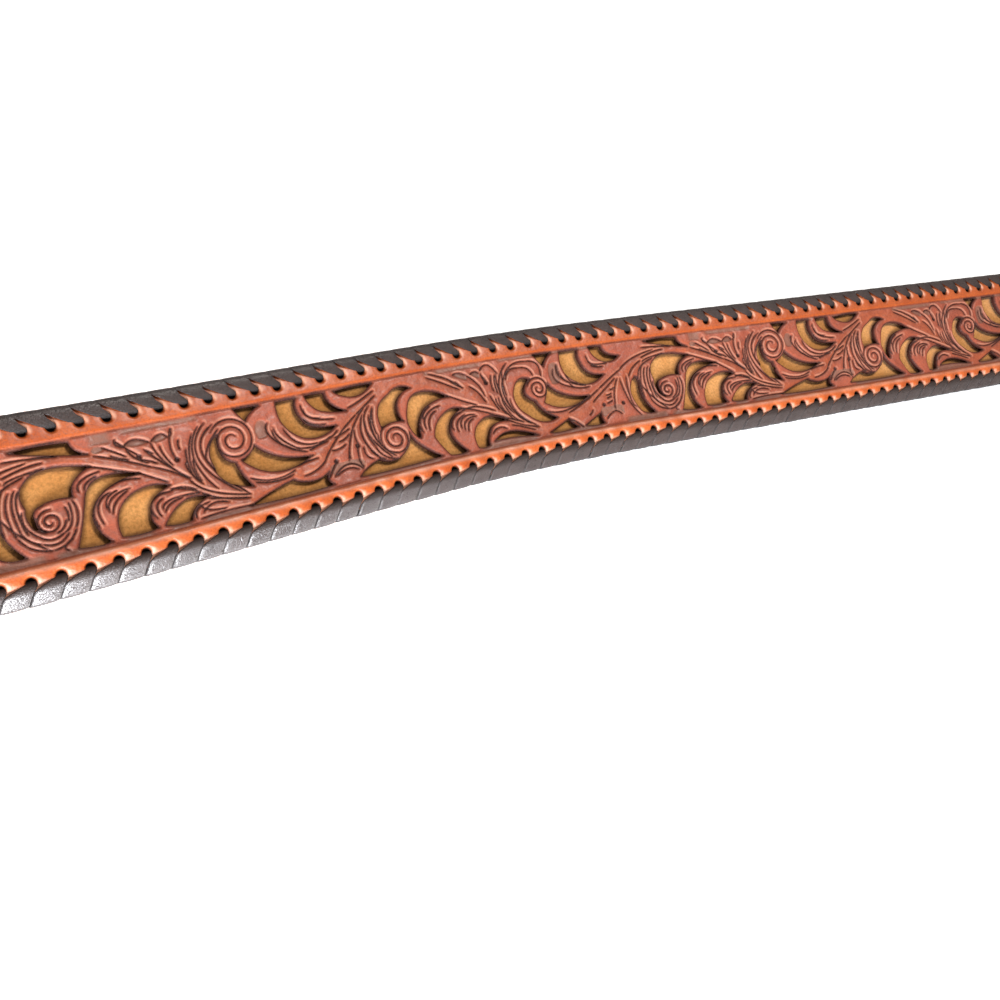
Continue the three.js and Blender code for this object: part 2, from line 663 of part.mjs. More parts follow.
// The buckle's closed rod: a rounded frame whose strap side is the bar, in the plane of x and y
function rodLoop(sides) {
  const half = HALF_WIDTH + BUCKLE_SIDE_GAP + BAR_RADIUS;
  const corners = [
    { x: 0, y: half, radius: BAR_CORNER, from: 0 },
    { x: -BUCKLE_REACH, y: half, radius: BUCKLE_CORNER, from: 90 },
    { x: -BUCKLE_REACH, y: -half, radius: BUCKLE_CORNER, from: 180 },
    { x: 0, y: -half, radius: BAR_CORNER, from: 270 },
  ];
  const middle = [];
  for (const corner of corners) {
    const steps = corner.radius > BAR_CORNER ? 6 : 3;
    const centre = [
      corner.x - (corner.x < 0 ? -1 : 1) * corner.radius,
      corner.y - Math.sign(corner.y) * corner.radius,
    ];
    for (let i = 0; i <= steps; i += 1) {
      const turn = radians(corner.from + (90 * i) / steps);
      middle.push({
        x: centre[0] + corner.radius * Math.cos(turn),
        y: centre[1] + corner.radius * Math.sin(turn),
        turn,
      });
    }
  }
  const ring = (k, i) => {
    const at = middle[k % middle.length];
    const spin = (2 * Math.PI * (i % sides)) / sides;
    const out = BAR_RADIUS * Math.cos(spin);
    return [at.x + out * Math.cos(at.turn), at.y + out * Math.sin(at.turn), BAR_RADIUS * Math.sin(spin)];
  };
  const numbers = [];
  middle.forEach((_, k) => {
    for (let i = 0; i < sides; i += 1) {
      const [a, b, c, d] = [ring(k, i), ring(k + 1, i), ring(k + 1, i + 1), ring(k, i + 1)];
      numbers.push(...a, ...b, ...c, ...a, ...c, ...d);
    }
  });
  const geometry = new THREE.BufferGeometry();
  geometry.setAttribute("position", new THREE.Float32BufferAttribute(numbers, 3));
  return geometry;
}

// The prong's side view, from its ring round the bar to the outer rod that it rests on
function prongBody() {
  const rest = BAR_RADIUS - CLEARANCE / 2;
  const shape = new THREE.Shape([
    new THREE.Vector2(0, PRONG_THICKNESS / 2),
    new THREE.Vector2(-BUCKLE_REACH * PRONG_SHAPE.back, rest + PRONG_THICKNESS),
    new THREE.Vector2(-BUCKLE_REACH, rest + PRONG_THICKNESS),
    new THREE.Vector2(-BUCKLE_REACH - BAR_RADIUS, rest + PRONG_THICKNESS * PRONG_SHAPE.point),
    new THREE.Vector2(-BUCKLE_REACH - BAR_RADIUS, rest),
    new THREE.Vector2(-BUCKLE_REACH * PRONG_SHAPE.belly, rest),
    new THREE.Vector2(0, -PRONG_THICKNESS / 2),
  ]);
  const body = new THREE.ExtrudeGeometry(shape, { depth: PRONG_WIDTH, bevelEnabled: false });
  body.translate(0, 0, -PRONG_WIDTH / 2).rotateX(Math.PI / 2);
  const ring = new THREE.CylinderGeometry(PRONG_RING, PRONG_RING, PRONG_WIDTH, 16);
  return solid(body).add(solid(ring));
}

function buckle() {
  const geometry = geometryFrom(cornersOf(solid(rodLoop(10)).add(prongBody())));
  const start = KNOTS[0];
  const place = new THREE.Matrix4().makeBasis(start.along, start.across, start.up);
  place.setPosition(start.place.clone().addScaledVector(start.up, BAR_HEIGHT));
  geometry.applyMatrix4(place);
  return mesh("buckle", geometry, 0xb8b4ac, 0.35, 0.9);
}

const postPlaces = () => [FIRST_POST, FIRST_POST + POST_SPACING];

// A screw post: a shank through both runs with a flat head above and below
function foldPost(name, x) {
  const top = BASE_TOP + CLEARANCE;
  const bottom = FLAP_BOTTOM - CLEARANCE;
  const profile = [
    [0, bottom - POST_HEAD],
    [POST_HEAD_RADIUS, bottom - POST_HEAD],
    [POST_HEAD_RADIUS, bottom],
    [POST_RADIUS, bottom],
    [POST_RADIUS, top],
    [POST_HEAD_RADIUS, top],
    [POST_HEAD_RADIUS, top + POST_HEAD],
    [0, top + POST_HEAD],
  ].map(([radius, height]) => new THREE.Vector2(radius, height));
  const geometry = new THREE.LatheGeometry(profile, 12).rotateX(Math.PI / 2);
  const start = KNOTS[0];
  const place = new THREE.Matrix4().makeBasis(start.along, start.across, start.up);
  place.setPosition(start.place.clone().addScaledVector(start.along, x));
  geometry.applyMatrix4(place);
  return mesh(name, geometry, 0xb8b4ac, 0.35, 0.9);
}

const belt = new THREE.Group();
belt.add(topLeather(), baseLeather());
belt.add(lacing("lacing_far", 1, 0), lacing("lacing_near", -1, 0.12));
belt.add(buckle());
postPlaces().forEach((x, i) => belt.add(foldPost(`fold_post_${i + 1}`, x)));

// The part's origin is under the middle of its box, on the ground.
const box = new THREE.Box3().setFromObject(belt);
const middle = box.getCenter(new THREE.Vector3());
const part = new THREE.Group();
belt.position.set(-middle.x, -middle.y, -box.min.z);
part.add(belt);

export default part;
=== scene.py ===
# %% [markdown]
# # A western tooled belt
#
# The belt is two leather straps, one on the other. The upper one is carved and stamped with
# scrollwork, and the ground between the scrolls is cut right through, so that the ochre suede of
# the lower strap shows. One long dark lace is whipped over both edges. Each piece below is built
# flat, from the sizes that a leather worker would mark out, and is then bent along the path in
# which the belt lies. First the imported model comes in, and its box is kept to compare sizes.

# %% Frame and its box
import math

import bpy
import numpy as np
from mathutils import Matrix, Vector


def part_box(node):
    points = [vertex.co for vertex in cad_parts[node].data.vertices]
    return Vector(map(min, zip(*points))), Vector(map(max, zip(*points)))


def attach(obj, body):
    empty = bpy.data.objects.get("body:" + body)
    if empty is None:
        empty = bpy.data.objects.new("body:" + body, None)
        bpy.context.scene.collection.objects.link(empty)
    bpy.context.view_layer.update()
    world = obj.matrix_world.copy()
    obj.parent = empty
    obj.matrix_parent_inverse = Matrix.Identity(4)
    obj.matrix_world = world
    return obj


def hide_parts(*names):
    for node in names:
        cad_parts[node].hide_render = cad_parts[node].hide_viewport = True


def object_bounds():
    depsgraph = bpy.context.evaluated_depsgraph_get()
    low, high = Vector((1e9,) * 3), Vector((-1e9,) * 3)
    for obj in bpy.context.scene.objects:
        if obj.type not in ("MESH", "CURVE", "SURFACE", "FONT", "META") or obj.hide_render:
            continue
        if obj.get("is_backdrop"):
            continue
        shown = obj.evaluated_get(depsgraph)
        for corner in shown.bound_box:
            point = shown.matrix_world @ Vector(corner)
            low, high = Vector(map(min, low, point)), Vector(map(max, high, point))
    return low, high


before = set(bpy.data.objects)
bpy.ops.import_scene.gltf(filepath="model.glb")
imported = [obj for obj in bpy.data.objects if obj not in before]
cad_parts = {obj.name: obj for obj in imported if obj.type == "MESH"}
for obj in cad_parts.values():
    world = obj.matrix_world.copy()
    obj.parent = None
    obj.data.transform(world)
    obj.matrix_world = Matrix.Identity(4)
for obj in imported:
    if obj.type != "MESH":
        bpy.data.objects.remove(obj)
cad_box = [list(corner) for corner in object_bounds()]
print("CAD box in metres:", cad_box)

# %% [markdown]
# ## The camera
#
# The photograph was taken from close above the belt's left part, so the strap narrows quickly to
# the right. Matching the two rows of lacing holes to the picture gives one place, turn and lens
# for the camera. It could be found by eye with guides, but a few wrong degrees would move every
# scroll, so the solved numbers are used. All lengths in this file are millimetres, and MM turns
# them to metres where a mesh, a light or a pattern is made.

# %% Camera
MM = 0.001
CAMERA_PLACE = (-107.65, -24.03, 231.30)
CAMERA_TURN = (10.886, -20.022, -12.436)
CAMERA_LENS = 32.4
CAMERA_SENSOR = 36.0
PICTURE_LIFT = -0.063  # the picture was cropped higher than the lens pointed

camera_data = bpy.data.cameras.new("photo_camera")
camera_data.lens = CAMERA_LENS
camera_data.sensor_width = CAMERA_SENSOR
camera_data.shift_y = PICTURE_LIFT
camera_data.clip_start = 0.01
camera = bpy.data.objects.new("photo_camera", camera_data)
camera.location = [value * MM for value in CAMERA_PLACE]
camera.rotation_euler = [math.radians(value) for value in CAMERA_TURN]
bpy.context.scene.collection.objects.link(camera)
bpy.context.scene.camera = camera
bpy.context.scene.view_settings.view_transform = "Standard"
print("camera stands", round(CAMERA_PLACE[2]), "mm above the table")

# %% [markdown]
# ## The sizes of the belt
#
# A belt of this kind is about 38 mm wide over its lacing. The names below are the sizes that the
# solids were made from, so that every piece here falls on the solid that it stands for. Those of
# the tip, the holes, the fold, the buckle and the posts follow where these are made.

# %% Sizes
CLEARANCE = 0.3
STRAP_LENGTH = 1060.0
STRAP_WIDTH = 36.4
TOP_LEATHER = 1.7
BASE_LEATHER = 1.8
LACE_THICKNESS = 0.7
STITCH_PITCH = 5.525
LACE_HOLE_INSET = 3.2
LACED_MARGIN = 76.6  # buckle bar to the first stitch
PANEL_BORDER = 3.0
PANEL_START = 88.0
PANEL_TIP_MARGIN = 215.0
BAR_RADIUS = 2.0
POST_HEAD = 1.4

HALF_WIDTH = STRAP_WIDTH / 2
HOLE_ROW = HALF_WIDTH - LACE_HOLE_INSET
PANEL_HALF = HOLE_ROW - PANEL_BORDER
PANEL_END = STRAP_LENGTH - PANEL_TIP_MARGIN
BASE_TOP = -TOP_LEATHER - CLEARANCE
BASE_BOTTOM = BASE_TOP - BASE_LEATHER
BASE_MIDDLE = (BASE_TOP + BASE_BOTTOM) / 2
LACE_BOTTOM = BASE_BOTTOM - CLEARANCE
FLAP_TOP = BASE_BOTTOM - CLEARANCE
FLAP_BOTTOM = FLAP_TOP - BASE_LEATHER
FLAP_MIDDLE = (FLAP_TOP + FLAP_BOTTOM) / 2
BAR_HEIGHT = (BASE_BOTTOM + FLAP_TOP) / 2
WRAP_RADIUS = BAR_RADIUS + CLEARANCE + BASE_LEATHER / 2
print("tooled panel is", 2 * PANEL_HALF, "mm wide and", PANEL_END - PANEL_START, "mm long")

# %% [markdown]
# ## How the belt lies
#
# Leather that was rolled up keeps a low wave when it is laid out. The path below gives, along the
# belt, the slope, the turn and the roll of the strap, and walking along it from the flat tip back
# to the buckle gives the place of every point. The column named fall says where the strap comes
# down to its buckle end, and the angle that brings it to the right height there is found by
# halving. A curve modifier could bend the pieces too, but it can't roll the strap by a table, and
# plain arithmetic keeps the solids and the looks together.

# %% Path of the strap
LIE = np.array([
    # share of the length, slope, fall, roll, heading
    (0.0, 0, 0, 0, 0),
    (0.075, 0, 0, 0, 0),
    (0.17, 0, 1, 0, 0.5),
    (0.236, 0, 1, 0.5, 2),
    (0.292, 0, 0, 1, 4),
    (0.326, 8, 0, 1.2, 4.8),
    (0.356, 11.3, 0, 1.2, 5),
    (0.398, 11.3, 0, -0.3, 5.7),
    (0.429, 10.5, 0, -1.7, 5.8),
    (0.455, 9, 0, -2.7, 4.7),
    (0.481, 6.5, 0, -2.6, 2.7),
    (0.507, 4.2, 0, -1.6, 1),
    (0.528, 0, 0, 0, 0),
    (1.0, 0, 0, 0, 0),
])
PATH_STEP = 1.0
TRIAL_STEP = 4.0
STEEPEST = 45.0
HALVINGS = 40
POST_BOTTOM = FLAP_BOTTOM - CLEARANCE - POST_HEAD
FOLD_BOTTOM = BAR_HEIGHT - WRAP_RADIUS - BASE_LEATHER / 2
BUCKLE_END_LIFT = LACE_BOTTOM - LACE_THICKNESS - min(FOLD_BOTTOM, POST_BOTTOM)


def directions(distance, fall):
    share = np.asarray(distance) / STRAP_LENGTH
    columns = (np.radians(np.interp(share, LIE[:, 0], LIE[:, k])) for k in (1, 2, 3, 4))
    slope, falls, roll, heading = columns
    slope = slope - fall * falls
    level = np.cos(slope)
    along = np.stack([level * np.cos(heading), level * np.sin(heading), -np.sin(slope)], -1)
    side = np.stack([-np.sin(heading), np.cos(heading), np.zeros_like(heading)], -1)
    over = np.cross(along, side)
    across = side * np.cos(roll)[..., None] + over * np.sin(roll)[..., None]
    return along, across, np.cross(along, across)


def walk(fall, step):
    distance = np.arange(0, STRAP_LENGTH + step / 2, step)
    halfway = directions((distance[1:] + distance[:-1]) / 2, fall)[0] * step
    place = np.zeros((len(distance), 3))
    place[:-1] = -np.cumsum(halfway[::-1], axis=0)[::-1]
    return distance, place + [STRAP_LENGTH, 0, 0]


low, high = 0.0, STEEPEST
for _ in range(HALVINGS):
    fall = (low + high) / 2
    too_high = walk(fall, TRIAL_STEP)[1][0, 2] > BUCKLE_END_LIFT
    low, high = (fall, high) if too_high else (low, fall)
FALL = low
PATH_DISTANCE, PATH_PLACE = walk(FALL, PATH_STEP)
PATH_ALONG, PATH_ACROSS, PATH_UP = directions(PATH_DISTANCE, FALL)
print("the strap comes down to its buckle end at", round(FALL, 2), "degrees")

# %% [markdown]
# The solids were moved so that the origin is under the middle of their box. The tip of the lower
# strap is found in the frame, and moving the path by the same step sets both on each other.

# %% From flat to laid
SAME_PLACE = 0.01
tip_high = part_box("base_leather")[1]
base_points = np.array([vertex.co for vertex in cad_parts["base_leather"].data.vertices]) / MM
tip_points = base_points[base_points[:, 0] > tip_high.x / MM - SAME_PLACE]
ORIGIN = np.array([
    tip_points[:, 0].max() - STRAP_LENGTH,
    tip_points[:, 1].mean(),
    tip_points[:, 2].max() - BASE_TOP,
])


def lay(distance, across, height):
    reach = np.clip(distance, 0, STRAP_LENGTH)
    at = lambda table: np.stack([np.interp(reach, PATH_DISTANCE, table[:, k]) for k in range(3)], -1)
    past = (distance - reach)[..., None] * at(PATH_ALONG)
    return (
        at(PATH_PLACE) + past + across[..., None] * at(PATH_ACROSS)
        + height[..., None] * at(PATH_UP) + ORIGIN
    )


print("origin of the laid belt:", np.round(ORIGIN, 2))

# %% [markdown]
# ## The chart of the scrollwork
#
# A carver draws one repeat of the pattern on tracing film and moves it along the strap. The chart
# here is that film, in squares of a millimetre: 168 along the strap, and 12 from its middle line
# to each side of the panel. First come the places that are cut through. Each outline starts at a
# point and goes on side by side, and a side is one bow: a point that it goes through and its end.

# %% Gaps of one repeat
REPEAT = 168.0
FIRST_REPEAT = 52.7  # buckle bar to where the first repeat begins
CHART_ALONG = 168
CHART_ACROSS = 12
GAPS = {
    "leaf tip sliver": (
        (-3.3, 11.2),
        [(2.3, 11.7, 8, 11.4), (8.9, 9.4, 11.1, 8), (3.7, 9.4, -3.3, 11.2)],
    ),
    "over low scroll": (
        (-2.6, -0.6),
        [(-3, 2.6, -1.6, 4.9), (3, 6.8, 10.8, 5.5), (7.3, 3.2, 6.3, -0.1), (3, 0.2, 0.3, -0.4),
         (-1.3, -1.4, -1.4, -3.4), (-1.2, -5, -0.2, -6), (-1.8, -5, -2.5, -3.4), (-2.8, -2, -2.6, -0.6)],
    ),
    "crescent after low scroll": (
        (5.2, -10.7),
        [(7.2, -5.4, 8.6, -0.9), (12.4, 2.8, 20, 1.9), (14, 0.6, 10.3, -2.3), (9.2, -6.5, 11.6, -11.1),
         (8.4, -11.1, 5.2, -10.7)],
    ),
    "between low leaves": (
        (13.8, -10.6),
        [(14.2, -5.6, 17.6, -2.2), (21.6, -1.2, 25.6, -2.1), (21.9, -4, 20.6, -6.4),
         (20.3, -8.6, 21.2, -10.6), (17.5, -10.9, 13.8, -10.6)],
    ),
    "last low leaf": (
        (22.7, -10.5),
        [(25.5, -7.5, 28.8, -5.9), (31, -5.9, 32.9, -6.4), (29.8, -8.2, 28.4, -10.8),
         (25.5, -10.9, 22.7, -10.5)],
    ),
    "notch at high scroll": (
        (43.6, 11.6),
        [(46.5, 11.7, 49.6, 11.5), (47, 10, 45.6, 8.4), (44.6, 9.9, 43.6, 11.6)],
    ),
    "inside high scroll": (
        (38.4, 6.6),
        [(36, 3.6, 36.1, -0.6), (38, -4.4, 43.3, -6.7), (41.8, -3.6, 41, -0.4), (38.5, 1.8, 38.4, 6.6)],
    ),
    "below high scroll": (
        (42.4, -0.3),
        [(44.7, 0.8, 46.2, 2.6), (51.4, -1.3, 58.9, -2.9), (49.6, -4.7, 42.4, -0.3)],
    ),
    "tall crescent": (
        (53.8, 11.5),
        [(54.3, 5.6, 58.4, 1.6), (62.8, 1.2, 67, 3), (61.8, 3.8, 59.2, 6), (58.2, 9, 58.8, 11.6),
         (56, 11.6, 53.8, 11.5)],
    ),
    "short crescent": (
        (61.2, 11.6),
        [(62.7, 8.4, 65.5, 6.8), (68, 6.2, 70.6, 6), (67.4, 8.3, 66.4, 11.6), (64, 11.7, 61.2, 11.6)],
    ),
    "edge sliver": (
        (68.8, 11.2),
        [(74, 11.7, 79.2, 11.6), (75.6, 9.4, 72, 9.4), (70, 10.2, 68.8, 11.2)],
    ),
    "under high stem": (
        (41.8, -10.9),
        [(47, -9, 53, -7.5), (54.8, -8.4, 57, -8.9), (59.6, -8.7, 61.8, -7.7), (61.2, -9.5, 62.2, -11),
         (52, -11.2, 41.8, -10.9)],
    ),
    "over second low scroll": (
        (78.6, 0),
        [(79, 4.8, 82.8, 7.9), (86, 9.4, 89.2, 8.5), (86.2, 7.4, 84.3, 5), (84.1, 2.4, 84.7, 0.4),
         (81.8, 0.7, 78.6, 0)],
    ),
    "under second low scroll": (
        (69.3, -10.8),
        [(72.4, -8.8, 75.6, -7.8), (79.6, -8.9, 83.2, -7.2), (84.8, -5.4, 85.5, -2.8),
         (87.6, -6.5, 92.6, -10.7), (81, -11, 69.3, -10.8)],
    ),
    "inner crescent": (
        (87.6, -4.6),
        [(86, -0.8, 87, 3.6), (88.9, 6.2, 92.2, 7.1), (96, 6.3, 98.9, 4.3), (95.3, 4, 92, 2.8),
         (89.4, -0.3, 88.4, -4.2), (88.1, -4.8, 87.6, -4.6)],
    ),
    "middle crescent": (
        (95.1, -10.9),
        [(93.4, -8.2, 92.2, -5.6), (93.8, -2.1, 97.4, 0.5), (99.8, 1.1, 102.1, 0.5),
         (99.2, -1, 97.3, -3.7), (97.4, -6.8, 100.3, -11), (97.6, -11.2, 95.1, -10.9)],
    ),
    "outer crescent": (
        (103.8, -10.8),
        [(104, -6.4, 107.4, -3.4), (110.9, -3.2, 114.5, -5.1), (110.4, -5.4, 108.3, -7.6),
         (107.6, -9, 107.3, -10.7), (105.6, -11, 103.8, -10.8)],
    ),
    "low slit": ((109, -10), [(115, -8.2, 122.8, -10.8), (115.8, -10, 109, -10)]),
    "notch at second high scroll": (
        (127.8, 11.6),
        [(130.6, 11.7, 133.5, 11.6), (131.3, 9.9, 130, 8), (128.8, 9.9, 127.8, 11.6)],
    ),
    "inside second high scroll": (
        (124.7, 5.2),
        [(121.4, 5.4, 118.9, 2.4), (118.8, -1.5, 121.6, -5), (125.8, -7.4, 130.3, -6.9),
         (126.9, -4.4, 124.9, -1.3), (122.2, 1.8, 124.7, 5.2)],
    ),
    "below second high scroll": (
        (127.6, -2.2),
        [(129, 0.3, 130, 3.2), (134.4, -0.6, 142.4, -2.3), (134.6, -4.5, 127.6, -2.2)],
    ),
    "second tall crescent": (
        (136.3, 11.5),
        [(136.1, 6, 139.4, 2.2), (143.8, 1.1, 148.9, 3.2), (144.5, 4.3, 142.4, 7.4),
         (141.9, 9.6, 142.3, 11.6), (139.3, 11.6, 136.3, 11.5)],
    ),
    "second short crescent": (
        (146, 11.6),
        [(147.4, 8.6, 150.2, 6.9), (152.8, 6.8, 155.3, 8.1), (151.6, 9.3, 150.2, 11.6),
         (148, 11.7, 146, 11.6)],
    ),
    "under second high stem": (
        (126.8, -10.8),
        [(130.2, -9.4, 134, -7.9), (135, -9.3, 136.5, -10.6), (131.5, -11, 126.8, -10.8)],
    ),
    "notch under stem": (
        (138.8, -10.6),
        [(142, -9.1, 145.1, -7.7), (144.9, -9.4, 145.4, -10.9), (142, -11, 138.8, -10.6)],
    ),
    "crescent before low scroll": (
        (159, 1.2),
        [(156.6, -3.2, 158.4, -8.4), (160.2, -9.9, 163.6, -10.2), (160.6, -5.6, 160.2, -2),
         (160, 0.3, 159, 1.2)],
    ),
}
BOW_STEP = 0.4  # length of the short straight pieces that a drawn bow is made of


def bow(start, through, end):
    start, through, end = (np.array(point, float) for point in (start, through, end))
    control = 2 * through - (start + end) / 2
    steps = max(3, int(np.ceil(np.hypot(*(end - start)) / BOW_STEP)))
    share = np.linspace(0, 1, steps + 1)[:, None]
    return (1 - share) ** 2 * start + 2 * share * (1 - share) * control + share**2 * end


def on_strap(chart_points, begin):
    squares = np.atleast_2d(chart_points)
    return squares * [REPEAT / CHART_ALONG, PANEL_HALF / CHART_ACROSS] + [begin, 0]


def gap_outline(start, sides):
    points = []
    for through_u, through_v, to_u, to_v in sides:
        points.extend(bow(start, (through_u, through_v), (to_u, to_v))[:-1])
        start = (to_u, to_v)
    return np.array(points)


REPEAT_STARTS = np.arange(FIRST_REPEAT - REPEAT, PANEL_END + REPEAT, REPEAT)
gap_outlines = []
for begin in REPEAT_STARTS:
    for start, sides in GAPS.values():
        outline = on_strap(gap_outline(start, sides), begin)
        if outline[:, 0].min() > PANEL_START + CLEARANCE and outline[:, 0].max() < PANEL_END - CLEARANCE:
            gap_outlines.append(outline)
print(len(gap_outlines), "gaps are cut through the upper strap")

# %% [markdown]
# The lines of the carving come next. A swivel knife cuts a short bow, and a beveller or a camouflage
# stamp then presses one side of it down. A row is such a cut: where it starts, a point that it goes
# through, and where it ends. The groups are named for the leaf or stem that they shape.

